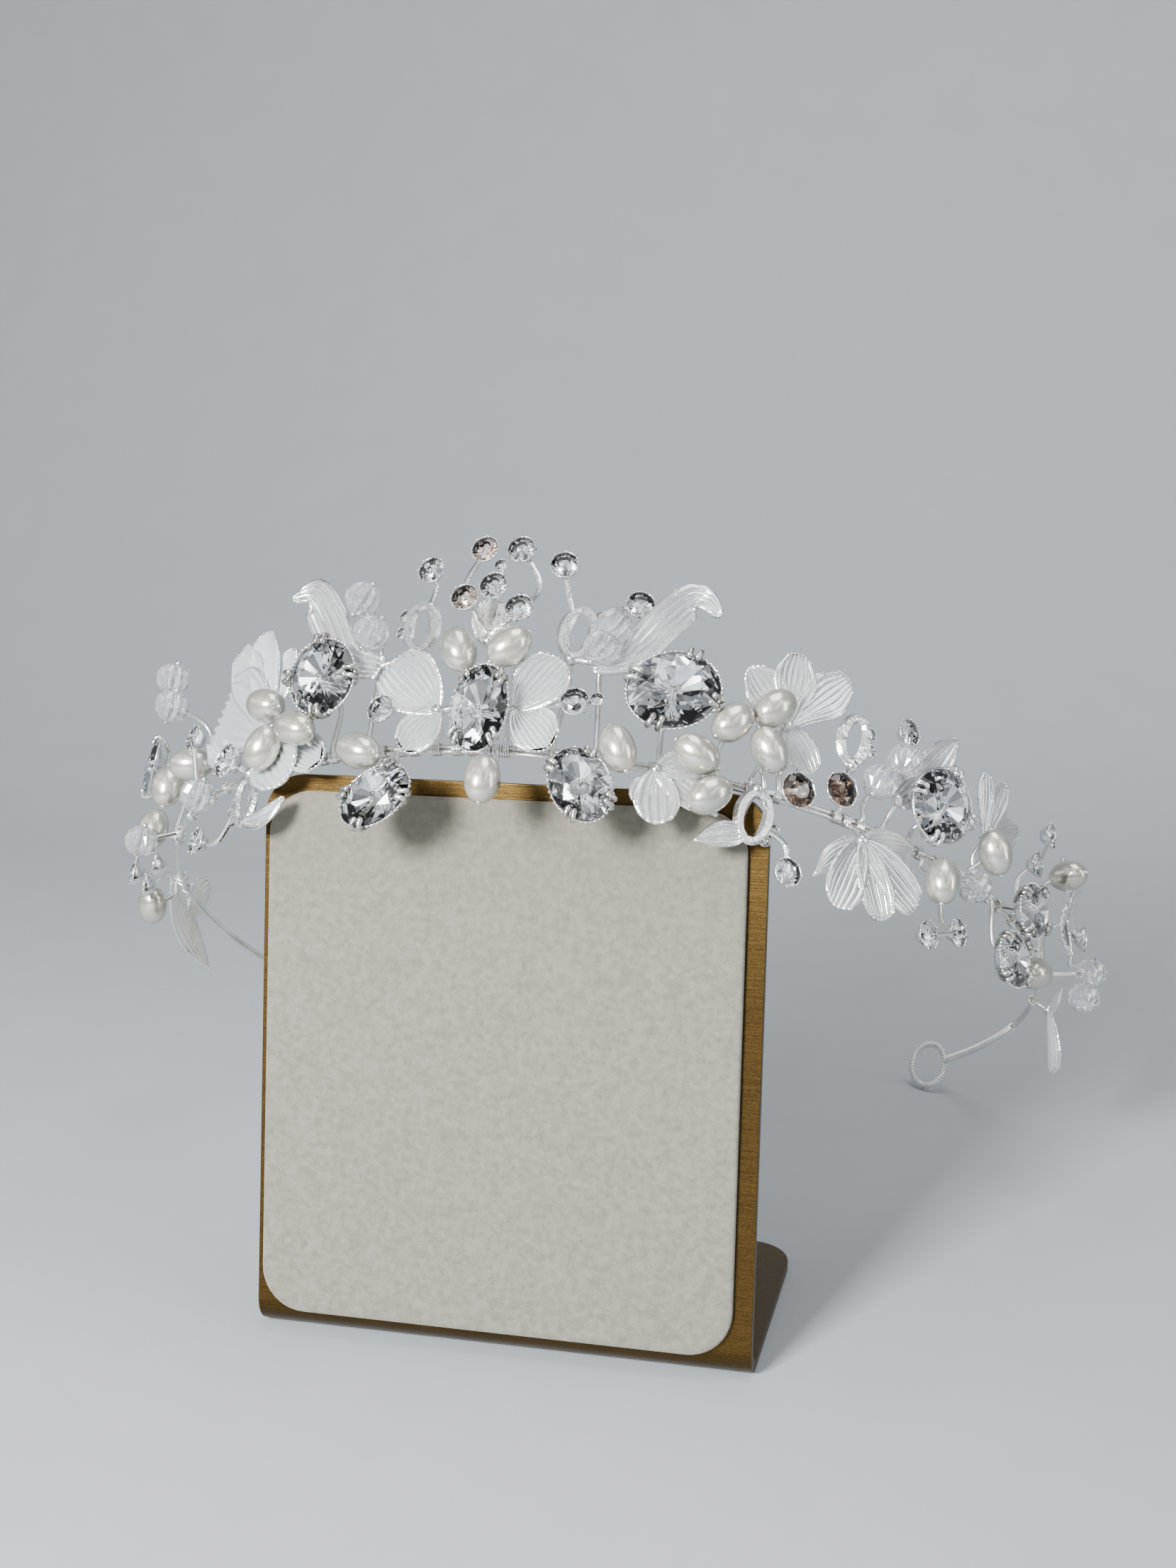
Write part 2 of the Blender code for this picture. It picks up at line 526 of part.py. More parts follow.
def pearl(piece, grow=0.0):
    """Rice pearl."""
    work = bmesh.new()
    bmesh.ops.create_uvsphere(work, u_segments=ROUND_SIDES, v_segments=ROUND_ROWS, radius=0.5)
    size = (PEARL_WIDTH + 2 * grow, PEARL_WIDTH + 2 * grow, PEARL_LENGTH + 2 * grow)
    bmesh.ops.scale(work, vec=size, verts=work.verts)
    bmesh.ops.rotate(work, cent=(0, 0, 0), matrix=Matrix.Rotation(math.pi / 2, 3, "Y"), verts=work.verts)
    mesh = bpy.data.meshes.new("pearl")
    work.to_mesh(mesh)
    work.free()
    return mesh_object("pearl", mesh, pose(*piece[2:7]))


def bead(piece, grow=0.0):
    """Round glass bead."""
    work = bmesh.new()
    radius = BEAD / 2 + grow
    bmesh.ops.create_uvsphere(work, u_segments=ROUND_SIDES, v_segments=ROUND_ROWS, radius=radius)
    mesh = bpy.data.meshes.new("bead")
    work.to_mesh(mesh)
    work.free()
    return mesh_object("bead", mesh, pose(*piece[2:7]))


STONE_SIZES = {
    "big_oval": (BIG_OVAL_LENGTH, BIG_OVAL_WIDTH),
    "long_oval": (LONG_OVAL_LENGTH, LONG_OVAL_WIDTH),
    "small_oval": (SMALL_OVAL_LENGTH, SMALL_OVAL_WIDTH),
}
CUP_SIZES = {"big_cup": BIG_CUP, "small_cup": SMALL_CUP, "pave": PAVE_STONE}


def oval(piece, grow=0.0):
    """Oval cut stone in its setting."""
    length, width = STONE_SIZES[piece.kind]
    size = (length / 2 + grow, width / 2 + grow, width / 2 + 2 * grow)
    return turned(STONE_PROFILE, STONE_SIDES, size, pose(*piece[2:7]))


def cup(kind, matrix, grow=0.0):
    """Round stone in a cup setting."""
    half = CUP_SIZES[kind] / 2 + grow
    size = (half, half, half + grow)
    if kind == "pave":
        return turned(PAVE_PROFILE, PAVE_SIDES, size, matrix)
    return turned(CUP_PROFILE, CUP_SIDES, size, matrix)


def ornament(piece, grow=0.0):
    """Stone, pearl or bead of one row of the tables."""
    if piece.kind == "pearl":
        return pearl(piece, grow)
    if piece.kind == "bead":
        return bead(piece, grow)
    if piece.kind in CUP_SIZES:
        return cup(piece.kind, pose(*piece[2:7]), grow)
    return oval(piece, grow)


def retire(thing):
    """Put a helper away with the cutters."""
    bpy.data.collections["tiara_on_stand"].objects.unlink(thing)
    bpy.data.collections["cutters"].objects.link(thing)
    thing.hide_render = True
    thing.display_type = "WIRE"


def add_boolean(thing, operand, operation, solver):
    """Join or cut with a helper."""
    step = thing.modifiers.new(operation.title(), "BOOLEAN")
    step.operation = operation
    step.solver = solver
    step.object = operand


def fuse(node, pieces, finish, solver="EXACT"):
    """Join pieces into one solid under the node's name."""
    body = pieces[0]
    body.name = node
    body.data.name = node
    body.data.materials.clear()
    body.data.materials.append(finish_material(finish))
    for other in pieces[1:]:
        other.name = node + "_join"
        other.data.materials.clear()
        retire(other)
        add_boolean(body, other, "UNION", solver)
    return body


def clean(body):
    """Weld the seams of a joined casting and merge the faces that lie flat together."""
    weld = body.modifiers.new("Weld", "WELD")
    weld.merge_threshold = SEAM
    flat = body.modifiers.new("Flat", "DECIMATE")
    flat.decimate_type = "DISSOLVE"
    flat.angle_limit = FLAT_ANGLE


def petal(row):
    """Curved petal or leaf: a cupped grid with the outline's width, given its thickness."""
    places = [spot(*step) for step in row.path]
    normals = [frame_at(step[0])[3] for step in row.path]
    shares = OUTLINES[row.outline]
    rows = len(shares)
    length = sum((b - a).length for a, b in zip(places, places[1:]))
    half = row.width * length / 2
    columns = FAN_COLUMNS if row.outline == "fan" else NARROW_COLUMNS
    work = bmesh.new()
    grid = []
    for index, share in enumerate(shares):
        travel = index / (rows - 1) * (len(places) - 1)
        step = min(int(travel), len(places) - 2)
        part = travel - step
        ahead = smooth_point(places, step, part + 0.02)
        here = smooth_point(places, step, part)
        normal = normals[step].lerp(normals[step + 1], part).normalized()
        heading = (ahead - here).normalized()
        side = heading.cross(normal).normalized()
        lift = side.cross(heading).normalized()
        line = []
        for column in columns:
            offset = side * column * share * half
            droop = -heading * (column ** 2) * (index / (rows - 1)) * half * 0.35
            rise = lift * (column ** 2) * row.cup * share * half
            line.append(work.verts.new(here + offset + droop + rise))
        grid.append(line)
    for near, far in zip(grid, grid[1:]):
        for k in range(len(columns) - 1):
            work.faces.new((near[k], near[k + 1], far[k + 1], far[k]))
    mesh = bpy.data.meshes.new("petal")
    work.to_mesh(mesh)
    work.free()
    thing = mesh_object("petal", mesh)
    shell = thing.modifiers.new("Thickness", "SOLIDIFY")
    shell.thickness = CAST_THICKNESS
    shell.offset = 0.0
    return baked(thing)


def smooth_point(places, step, part):
    """Point of the smooth curve through the places, a share of the way past one of them."""
    before = places[max(step - 1, 0)]
    start, end = places[step], places[step + 1]
    after = places[min(step + 2, len(places) - 1)]
    a = 2 * start
    b = end - before
    c = 2 * before - 5 * start + 4 * end - after
    d = -before + 3 * start - 3 * end + after
    return (a + b * part + c * part ** 2 + d * part ** 3) / 2


def ring(row):
    """Open oval ring in the plane of the wire and its up direction."""
    matrix = pose(row.along, row.up, row.out, row.roll)
    points = []
    for index in range(RING_POINTS):
        angle = 2 * math.pi * index / RING_POINTS
        local = Vector((RING_WIDTH / 2 * math.cos(angle), RING_HEIGHT / 2 * math.sin(angle), 0))
        points.append(matrix @ local)
    return wire(points, RING_WIRE, closed=True)


def hub(place):
    """Small ball where the petals of a casting meet."""
    work = bmesh.new()
    bmesh.ops.create_icosphere(work, subdivisions=1, radius=HUB / 2)
    mesh = bpy.data.meshes.new("hub")
    work.to_mesh(mesh)
    work.free()
    return mesh_object("hub", mesh, Matrix.Translation(place))


def stud(row):
    """Small stone and the wire that carries it."""
    matrix = pose(row.along, row.up, row.out)
    places = [spot(*step) for step in row.path]
    pieces = [cup(row.kind, matrix)]
    if places:
        pieces.append(wire(places + [matrix.translation], STEM_WIRE))
    return pieces


def casting(row):
    """Cast frame with its petals, ring, small stones and stem."""
    centre = spot(row.along, row.up, row.out)
    pieces = [hub(centre), wire(stem_points(row.along, row.up, row.out, row.root), STEM_WIRE)]
    pieces += [petal(item) for item in PETALS if item.node == row.node]
    pieces += [ring(item) for item in RINGS if item.node == row.node]
    for item in STUDS:
        if item.node == row.node:
            pieces += stud(item)
    pieces += bridges(row.node)
    finish = "lacquer" if "scroll" not in row.node and row.node != "crest" else "silver"
    return fuse(row.node, pieces, finish, "MANIFOLD")


Bridge = namedtuple("Bridge", "node path")

# Plain wires that join the parts of one casting
BRIDGES = [
    # node, path of (along, up, out)
    Bridge("orchid", ((-0.049, 0.15, 0.45), (-0.012, 0.20, 0.40), (0.024, 0.17, 0.45))),
    Bridge("scroll_upper_left", ((-0.080, 0.45, 0.45), (-0.120, 0.39, 0.50))),
    Bridge("scroll_upper_right", ((0.066, 0.44, 0.45), (0.090, 0.43, 0.50))),
    Bridge("scroll_right_low", ((0.252, -0.27, 0.50), (0.236, -0.27, 0.50))),
]


def bridges(node):
    """Joining wires of one casting."""
    return [wire([spot(*step) for step in item.path], RING_WIRE) for item in BRIDGES if item.node == node]


def reach_box(thing):
    """Lowest and highest corners of a mesh object."""
    corners = [thing.matrix_world @ vertex.co for vertex in thing.data.vertices]
    low = Vector(min(corner[axis] for corner in corners) for axis in range(3))
    high = Vector(max(corner[axis] for corner in corners) for axis in range(3))
    return low, high


def boxes_meet(first, second):
    """Say whether two boxes share space."""
    return all(first[0][k] < second[1][k] and second[0][k] < first[1][k] for k in range(3))


def stand_outline():
    """Places along the sheet from the plate's top to the foot's end, with half-widths."""
    lean = PLATE_LEAN
    bend = math.pi / 2 + lean
    middle = BEND_RADIUS + SHEET / 2
    front = Vector((0, -FOOT_DEPTH / 2, 0))
    down = Vector((0, -math.sin(lean), -math.cos(lean)))
    into = Vector((0, math.cos(lean), -math.sin(lean)))
    top = front - down * PLATE_HEIGHT + into * SHEET / 2
    setback = middle * math.tan(bend / 2)
    travel = (top.z - SHEET / 2) / math.cos(lean)
    corner = top + down * travel
    foot_end = Vector((0, FOOT_DEPTH / 2, SHEET / 2))
    back = Vector((0, 1, 0))
    stops = []
    for share in (0.0, 0.06, 0.18, 0.36, 0.62, 1.0):
        drop = PLATE_CORNER * share
        inset = PLATE_CORNER - math.sqrt(PLATE_CORNER ** 2 - (PLATE_CORNER - drop) ** 2)
        stops.append((top + down * drop, STAND_WIDTH / 2 - inset))
    start = corner - down * setback
    centre = start + into * middle
    steps = 6
    for index in range(steps + 1):
        angle = bend * index / steps
        arm = -into * math.cos(angle) * middle + down * math.sin(angle) * middle
        stops.append((centre + arm, STAND_WIDTH / 2))
    for share in (1.0, 0.62, 0.36, 0.18, 0.06, 0.0):
        drop = FOOT_CORNER * share
        inset = FOOT_CORNER - math.sqrt(FOOT_CORNER ** 2 - (FOOT_CORNER - drop) ** 2)
        stops.append((foot_end - back * drop, STAND_WIDTH / 2 - inset))
    return stops


def display_stand():
    """Leaning plate and foot, bent from one sheet."""
    work = bmesh.new()
    rows = []
    for place, half in stand_outline():
        left = work.verts.new(place - Vector((half, 0, 0)))
        right = work.verts.new(place + Vector((half, 0, 0)))
        rows.append((left, right))
    for upper, lower in zip(rows, rows[1:]):
        work.faces.new((upper[0], upper[1], lower[1], lower[0]))
    mesh = bpy.data.meshes.new("display_stand")
    work.to_mesh(mesh)
    work.free()
    stand = mesh_object("display_stand", mesh)
    shell = stand.modifiers.new("Thickness", "SOLIDIFY")
    shell.thickness = SHEET
    shell.offset = 0.0
    shell.use_even_offset = True
    mesh.materials.append(finish_material("gold"))
    return stand


def display_pad():
    """Thin pad with rounded corners on the plate's front."""
    left = -STAND_WIDTH / 2 + PAD_MARGIN_LEFT
    right = STAND_WIDTH / 2 - PAD_MARGIN_RIGHT
    bottom = PAD_MARGIN_BOTTOM
    top = PLATE_HEIGHT - PAD_MARGIN_TOP
    points = []
    corners = ((right, top, 0), (left, top, 90), (left, bottom, 180), (right, bottom, 270))
    for x, y, first in corners:
        centre_x = x - math.copysign(PAD_CORNER, x)
        centre_y = y - PAD_CORNER if y == top else y + PAD_CORNER
        for step in range(7):
            angle = math.radians(first + 15 * step)
            points.append((centre_x + PAD_CORNER * math.cos(angle), centre_y + PAD_CORNER * math.sin(angle)))
    curve = bpy.data.curves.new("display_pad", "CURVE")
    curve.dimensions = "2D"
    curve.fill_mode = "BOTH"
    curve.extrude = PAD_THICKNESS / 2
    spline = curve.splines.new("POLY")
    spline.points.add(len(points) - 1)
    for point, (x, y) in zip(spline.points, points):
        point.co = (x, y, 0.0, 1.0)
    spline.use_cyclic_u = True
    thing = bpy.data.objects.new("pad_outline", curve)
    bpy.data.collections["tiara_on_stand"].objects.link(thing)
    away = PAD_THICKNESS / 2 + GAP
    lean = Matrix.Rotation(math.pi / 2 - PLATE_LEAN, 4, "X")
    front = Matrix.Translation((0, -FOOT_DEPTH / 2, 0))
    thing.matrix_world = front @ lean @ Matrix.Translation((0, 0, away))
    pad = baked(thing)
    pad.name = "display_pad"
    pad.data.materials.append(finish_material("velour"))
    return pad


def headband():
    """Head wire in a U, with a loop turned at each end."""
    points = []
    first_turn = math.radians(200)
    sweep = math.radians(336)
    for side in (-1, 1):
        centre, onward, up = loop_axes(side, TILT)
        loop = []
        for index in range(1, LOOP_POINTS + 1):
            angle = first_turn + sweep * index / LOOP_POINTS
            across = onward * LOOP_HALF_LENGTH * math.cos(angle)
            loop.append(centre + across + up * LOOP_HALF_HEIGHT * math.sin(angle))
        if side < 0:
            points += loop[::-1]
            for index in range(BAND_POINTS):
                share = 2 * index / (BAND_POINTS - 1) - 1
                distance = share * float(LENGTHS[-1])
                points.append(frame_at(distance / REACH)[0])
        else:
            points += loop
    band = wire(points, HEAD_WIRE)
    band.name = "headband"
    band.data.materials.append(finish_material("silver"))
    return band


def build():
    """Build the stand, the head wire and every ornament."""
    clear_scene()
    new_collection("tiara_on_stand")
    new_collection("cutters")
    display_stand()
    display_pad()
    headband()
    finishes = {"pearl": "pearl", "bead": "glass_bead"}
    singles = OVALS + PEARLS
    clearances = []
    for piece in singles:
        points = stem_points(piece.along, piece.up, piece.out, piece.root)
        parts = [ornament(piece), wire(points, STEM_WIRE)]
        fuse(piece.node, parts, finishes.get(piece.kind, "crystal"))
        clearances.append(ornament(piece, GAP))
        clearances.append(wire(points, STEM_WIRE + 2 * GAP))
    for node in dict.fromkeys(piece.node for piece in BEADS):
        group = [piece for piece in BEADS if piece.node == node]
        parts = [ornament(piece) for piece in group]
        lead = group[0]
        points = stem_points(lead.along, lead.up, lead.out, lead.root)
        links = [spot(piece.along, piece.up, piece.out) for piece in group]
        parts.append(wire(points, STEM_WIRE))
        clearances.append(wire(points, STEM_WIRE + 2 * GAP))
        if len(links) > 1:
            parts.append(wire(links, STEM_WIRE))
            clearances.append(wire(links, STEM_WIRE + 2 * GAP))
        fuse(node, parts, finishes.get(lead.kind, "crystal"))
        clearances += [ornament(piece, GAP) for piece in group]
    for thing in clearances:
        thing.name = "clearance"
        retire(thing)
    bpy.context.view_layer.update()
    boxes = [(thing, reach_box(thing)) for thing in clearances]
    for row in CASTINGS:
        body = casting(row)
        bpy.context.view_layer.update()
        members = [body] + [step.object for step in body.modifiers if step.type == "BOOLEAN"]
        spans = [reach_box(member) for member in members]
        for thing, box in boxes:
            if any(boxes_meet(box, span) for span in spans):
                add_boolean(body, thing, "DIFFERENCE", "MANIFOLD")
        # The crest's thin wires meet at shallow angles, so it keeps every facet
        if row.node != "crest":
            clean(body)


build()
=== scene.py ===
"""Looks of a bridal tiara resting on a display stand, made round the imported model.

Every length is in metres, in the model's frame: +Z is up and -Y is the front. An ornament's place
is given on the head wire, as in the model: along is the distance round the wire from its middle,
up stands square to the wire's plane, and out points away from the head, as shares of REACH,
CREST_HEIGHT and STONE_LIFT.
"""

import math
from collections import namedtuple

import bmesh
import bpy
import numpy as np
from mathutils import Matrix, Vector


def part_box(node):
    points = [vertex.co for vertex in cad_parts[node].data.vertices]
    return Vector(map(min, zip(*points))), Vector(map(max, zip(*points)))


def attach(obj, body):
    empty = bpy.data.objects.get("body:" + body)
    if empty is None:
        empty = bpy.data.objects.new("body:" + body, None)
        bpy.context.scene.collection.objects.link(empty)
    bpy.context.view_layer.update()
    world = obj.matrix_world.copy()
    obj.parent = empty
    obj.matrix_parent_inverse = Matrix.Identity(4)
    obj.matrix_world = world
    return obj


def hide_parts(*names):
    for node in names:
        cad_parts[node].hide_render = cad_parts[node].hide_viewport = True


bl_info = {
    "name": "Bridal tiara on a stand",
    "version": (1, 0, 0),
    "blender": (4, 5, 0),
    "location": "3D View > Sidebar > Tiara",
    "description": "Dresses the packed tiara with cut stones, pearls, ribbed petals and its stand",
    "category": "Object",
}

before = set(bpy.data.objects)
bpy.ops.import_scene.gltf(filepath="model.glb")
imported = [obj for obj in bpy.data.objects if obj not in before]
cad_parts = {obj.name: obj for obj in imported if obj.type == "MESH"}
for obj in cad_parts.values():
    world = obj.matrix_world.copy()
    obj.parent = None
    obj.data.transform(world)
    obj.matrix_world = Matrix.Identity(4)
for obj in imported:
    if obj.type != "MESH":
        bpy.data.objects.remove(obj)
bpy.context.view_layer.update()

# Display stand and its pad
STAND_LOW, STAND_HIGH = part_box("display_stand")
STAND_WIDTH = STAND_HIGH.x - STAND_LOW.x
FOOT_DEPTH = 0.0447
PLATE_HEIGHT = 0.0841
PLATE_LEAN = math.radians(7.55)
SHEET = 0.0015
BEND_RADIUS = 0.0028
PLATE_CORNER = 0.006
FOOT_CORNER = 0.007
EDGE_ROUNDING = 0.0003
PAD_THICKNESS = 0.001
PAD_MARGIN_LEFT = 0.001
PAD_MARGIN_RIGHT = 0.0028
PAD_MARGIN_TOP = 0.0023
PAD_MARGIN_BOTTOM = 0.0037
PAD_CORNER = 0.0066
GAP = 0.0003

# Head wire
HEAD_WIRE = 0.0014
BAND_HALF_WIDTH = 0.076
BAND_HALF_DEPTH = 0.0895
BAND_END_ANGLE = math.radians(130)
BAND_OVERHANG = 0.0056
BAND_SHIFT = -0.0015
LOOP_HALF_LENGTH = 0.0038
LOOP_HALF_HEIGHT = 0.0043
LOOP_DROP = 0.0008
LOOP_TURN = math.radians(25)
STRAND = 0.00066
STRAND_APART = 0.00036
WRAP_WIRE = 0.00028
WRAP_PITCH = 0.0005
WRAP_FROM = 0.84

# Field of ornaments on the head wire
REACH = 0.150
CREST_HEIGHT = 0.031
STONE_LIFT = 0.006

# Ornaments
PEARL_LENGTH = 0.0070
PEARL_WIDTH = 0.0051
BEAD = 0.0056
BIG_OVAL_LENGTH = 0.0140
BIG_OVAL_WIDTH = 0.0113
LONG_OVAL_LENGTH = 0.0136
LONG_OVAL_WIDTH = 0.0082
SMALL_OVAL_LENGTH = 0.0114
SMALL_OVAL_WIDTH = 0.0086
BIG_CUP = 0.0053
SMALL_CUP = 0.0042
PAVE_STONE = 0.0019
STEM_WIRE = 0.0008
STEM_LAYER = 0.0008
CAST_THICKNESS = 0.0008
RING_WIRE = 0.0012
RING_WIDTH = 0.0043
RING_HEIGHT = 0.0074
RIM_WIRE = 0.00052
RIM_THREAD = 0.00022
RIM_BALL = 0.00027
RIM_BALL_STEP = 0.00075
CUP_BALL = 0.00022
CLAW_WIRE = 0.0008
PEARL_TIP = 0.00038
BEAD_TIP = 0.0005
HUB_BALL = 0.0010
STUD_BACK = 0.0008
COIL_WIRE = 0.0003
COIL_TURNS = 4

# Studio: the floor's sweep, and each light's name, place, size and power
FLOOR_BEND = 0.35
FLOOR_REACH = 3.0
LIGHT_AIM = Vector((0.0, 0.0, 0.08))
LIGHTS = (
    ("key", (-0.13, -0.42, 0.27), (0.12, 0.12), "key_power"),
    ("top", (0.10, 0.05, 0.75), (0.5, 0.35), "top_power"),
    ("side", (0.62, -0.10, 0.22), (0.10, 0.45), "side_power"),
)

# Camera at the photograph's place
CAMERA_PLACE = Vector((0.07603, -0.27810, 0.13996))
CAMERA_YAW = math.radians(-13.63)
CAMERA_PITCH = math.radians(11.55)
CAMERA_ROLL = math.radians(-0.17)
CAMERA_LENS = 45.3
SENSOR = 36.0

Piece = namedtuple("Piece", "node kind along up out roll swing root")

# Ovals: roll turns the long side up from the wire's direction, swing turns the face
OVALS = [
    # node, kind, along, up, out, roll, swing, root
    Piece("oval_centre", "long_oval", -0.002, 0.11, 1.17, 90, 0, -0.002),
    Piece("oval_right_upper", "big_oval", 0.158, 0.30, 1.17, 30, 0, 0.158),
    Piece("oval_left_upper", "big_oval", -0.168, 0.33, 1.00, -43, 0, -0.168),
    Piece("oval_left_low", "small_oval", -0.090, -0.29, 0.83, 33, 0, -0.090),
    Piece("oval_right_low", "small_oval", 0.091, -0.19, 0.83, -62, 0, 0.091),
    Piece("oval_right", "big_oval", 0.444, 0.18, 1.00, 34, 0, 0.436),
    Piece("oval_left_far", "small_oval", -0.543, 0.36, 1.12, 20, 0, -0.543),
    Piece("oval_right_far", "small_oval", 0.620, -0.04, 1.00, 20, 0, 0.620),
    Piece("oval_right_end", "small_oval", 0.602, -0.32, 0.75, 10, 0, 0.592),
]

PEARLS = [
    # node, kind, along, up, out, roll, swing, root
    Piece("pearl_centre_left", "pearl", -0.031, 0.41, 1.00, 115, 0, -0.031),
    Piece("pearl_centre_right", "pearl", 0.014, 0.43, 1.00, 45, 0, 0.016),
    Piece("pearl_drop", "pearl", 0.009, -0.22, 1.00, 90, 0, 0.009),
    Piece("pearl_right_1", "pearl", 0.118, -0.01, 1.00, 115, 0, 0.118),
    Piece("pearl_right_2", "pearl", 0.185, 0.03, 1.00, -25, 0, 0.185),
    Piece("pearl_right_3", "pearl", 0.200, -0.15, 1.00, 40, 0, 0.200),
    Piece("pearl_right_4", "pearl", 0.213, 0.22, 1.00, 50, 0, 0.213),
    Piece("pearl_right_5", "pearl", 0.250, 0.34, 1.00, 45, 0, 0.262),
    Piece("pearl_right_6", "pearl", 0.249, 0.13, 1.00, -55, 0, 0.249),
    Piece("pearl_right_7", "pearl", 0.458, -0.17, 0.83, 90, 0, 0.458),
    Piece("pearl_right_8", "pearl", 0.530, 0.10, 1.00, -60, 0, 0.530),
    Piece("pearl_right_9", "pearl", 0.778, 0.45, 0.83, 0, 60, 0.778),
    Piece("pearl_right_10", "pearl", 0.670, -0.28, 0.67, 20, 0, 0.670),
    Piece("pearl_left_1", "pearl", -0.235, 0.24, 1.00, -14, 0, -0.222),
    Piece("pearl_left_2", "pearl", -0.182, 0.06, 1.15, -16, 0, -0.182),
    Piece("pearl_left_3", "pearl", -0.227, 0.01, 1.00, 69, 0, -0.238),
    Piece("pearl_left_4", "pearl", -0.110, -0.08, 1.00, -18, 0, -0.110),
    Piece("pearl_left_5", "pearl", -0.388, 0.14, 0.72, 10, 60, -0.384),
    Piece("pearl_left_6", "pearl", -0.452, 0.11, 0.83, 90, 0, -0.452),
    Piece("pearl_left_7", "pearl", -0.688, -0.19, 0.67, 40, 0, -0.688),
    Piece("pearl_left_8", "pearl", -0.548, 0.03, 0.74, 90, 0, -0.548),
]

# Beads share a stem where their nodes match
BEADS = [
    # node, kind, along, up, out, roll, swing, root
    Piece("beads_upper_left", "bead", -0.129, 0.56, 0.67, 60, 0, -0.125),
    Piece("beads_upper_left", "bead", -0.147, 0.75, 0.67, 60, 0, -0.125),
    Piece("beads_upper_right", "bead", 0.093, 0.49, 0.67, 60, 0, 0.100),
    Piece("beads_upper_right", "bead", 0.101, 0.60, 0.67, 60, 0, 0.100),
    Piece("beads_right", "bead", 0.374, 0.19, 0.67, 60, 0, 0.374),
    Piece("beads_right", "bead", 0.403, 0.35, 0.67, 60, 0, 0.374),
    Piece("beads_right", "small_cup", 0.412, 0.52, 0.50, 0, 0, 0.374),
    Piece("bead_right_side", "bead", 0.520, -0.08, 0.60, 60, 0, 0.518),
    Piece("beads_far_right", "bead", 0.853, 0.03, 1.45, 60, 0, 0.853),
    Piece("beads_far_right", "bead", 0.855, -0.11, 1.29, 60, 0, 0.853),
    Piece("beads_left_top", "bead", -0.430, 0.50, 1.30, 60, 0, -0.415),
    Piece("beads_left_top", "bead", -0.435, 0.66, 1.40, 60, 0, -0.415),
    Piece("bead_left", "bead", -0.345, -0.09, 0.75, 60, 0, -0.345),
    Piece("bead_left", "small_cup", -0.350, 0.20, 1.15, 0, 0, -0.357),
    Piece("bead_left_side", "bead", -0.520, -0.10, 1.00, 60, 0, -0.520),
    Piece("bead_left_side", "small_cup", -0.545, -0.24, 1.00, 0, 0, -0.520),
    Piece("cups_right_low", "small_cup", 0.495, -0.36, 0.67, 0, 0, 0.488),
    Piece("cups_right_low", "small_cup", 0.451, -0.44, 0.67, 0, 0, 0.488),
    Piece("cups_far_right", "small_cup", 0.660, 0.29, 0.67, 0, 0, 0.662),
    Piece("cups_far_right", "small_cup", 0.705, 0.54, 0.67, 0, 0, 0.662),
]

Casting = namedtuple("Casting", "node along up out root")

# Castings: the hub where the petals meet, and where its stem leaves the head wire
CASTINGS = [
    # node, along, up, out, root
    Casting("orchid", -0.049, 0.15, 0.50, -0.052),
    Casting("crest", -0.012, 0.50, 0.50, -0.016),
    Casting("scroll_upper_left", -0.080, 0.45, 0.45, -0.076),
    Casting("scroll_upper_right", 0.066, 0.44, 0.45, 0.060),
    Casting("scroll_left", -0.265, -0.05, 0.50, -0.265),
    Casting("scroll_right_low", 0.249, -0.03, 0.50, 0.249),
    Casting("scroll_right_high", 0.345, 0.23, 0.50, 0.345),
    Casting("flower_left", -0.247, 0.14, 0.45, -0.250),
    Casting("flower_right", 0.155, -0.04, 0.45, 0.155),
    Casting("flower_right_upper", 0.272, 0.33, 0.45, 0.277),
    Casting("leaf_right", 0.365, -0.11, 0.45, 0.357),
    Casting("leaf_ribbon_right", 0.405, 0.16, 0.45, 0.400),
    Casting("petals_right", 0.545, 0.20, 0.40, 0.550),
    Casting("flower_far_right", 0.815, 0.25, 0.70, 0.815),
    Casting("leaf_end_right", 0.955, -0.05, 0.45, 0.955),
    Casting("leaf_end_left", -0.730, 0.05, 0.50, -0.730),
]

# Half-widths of a petal from its root to its tip, as shares of its own half-width
OUTLINES = {
    "fan": (0.16, 0.72, 1.00, 0.80),
    "pointed": (0.20, 0.86, 0.88, 0.08),
    "spoon": (0.24, 0.56, 1.00, 0.62),
    "ribbon": (0.50, 0.80, 1.00, 0.85, 0.30),
}

Petal = namedtuple("Petal", "node outline width cup path")

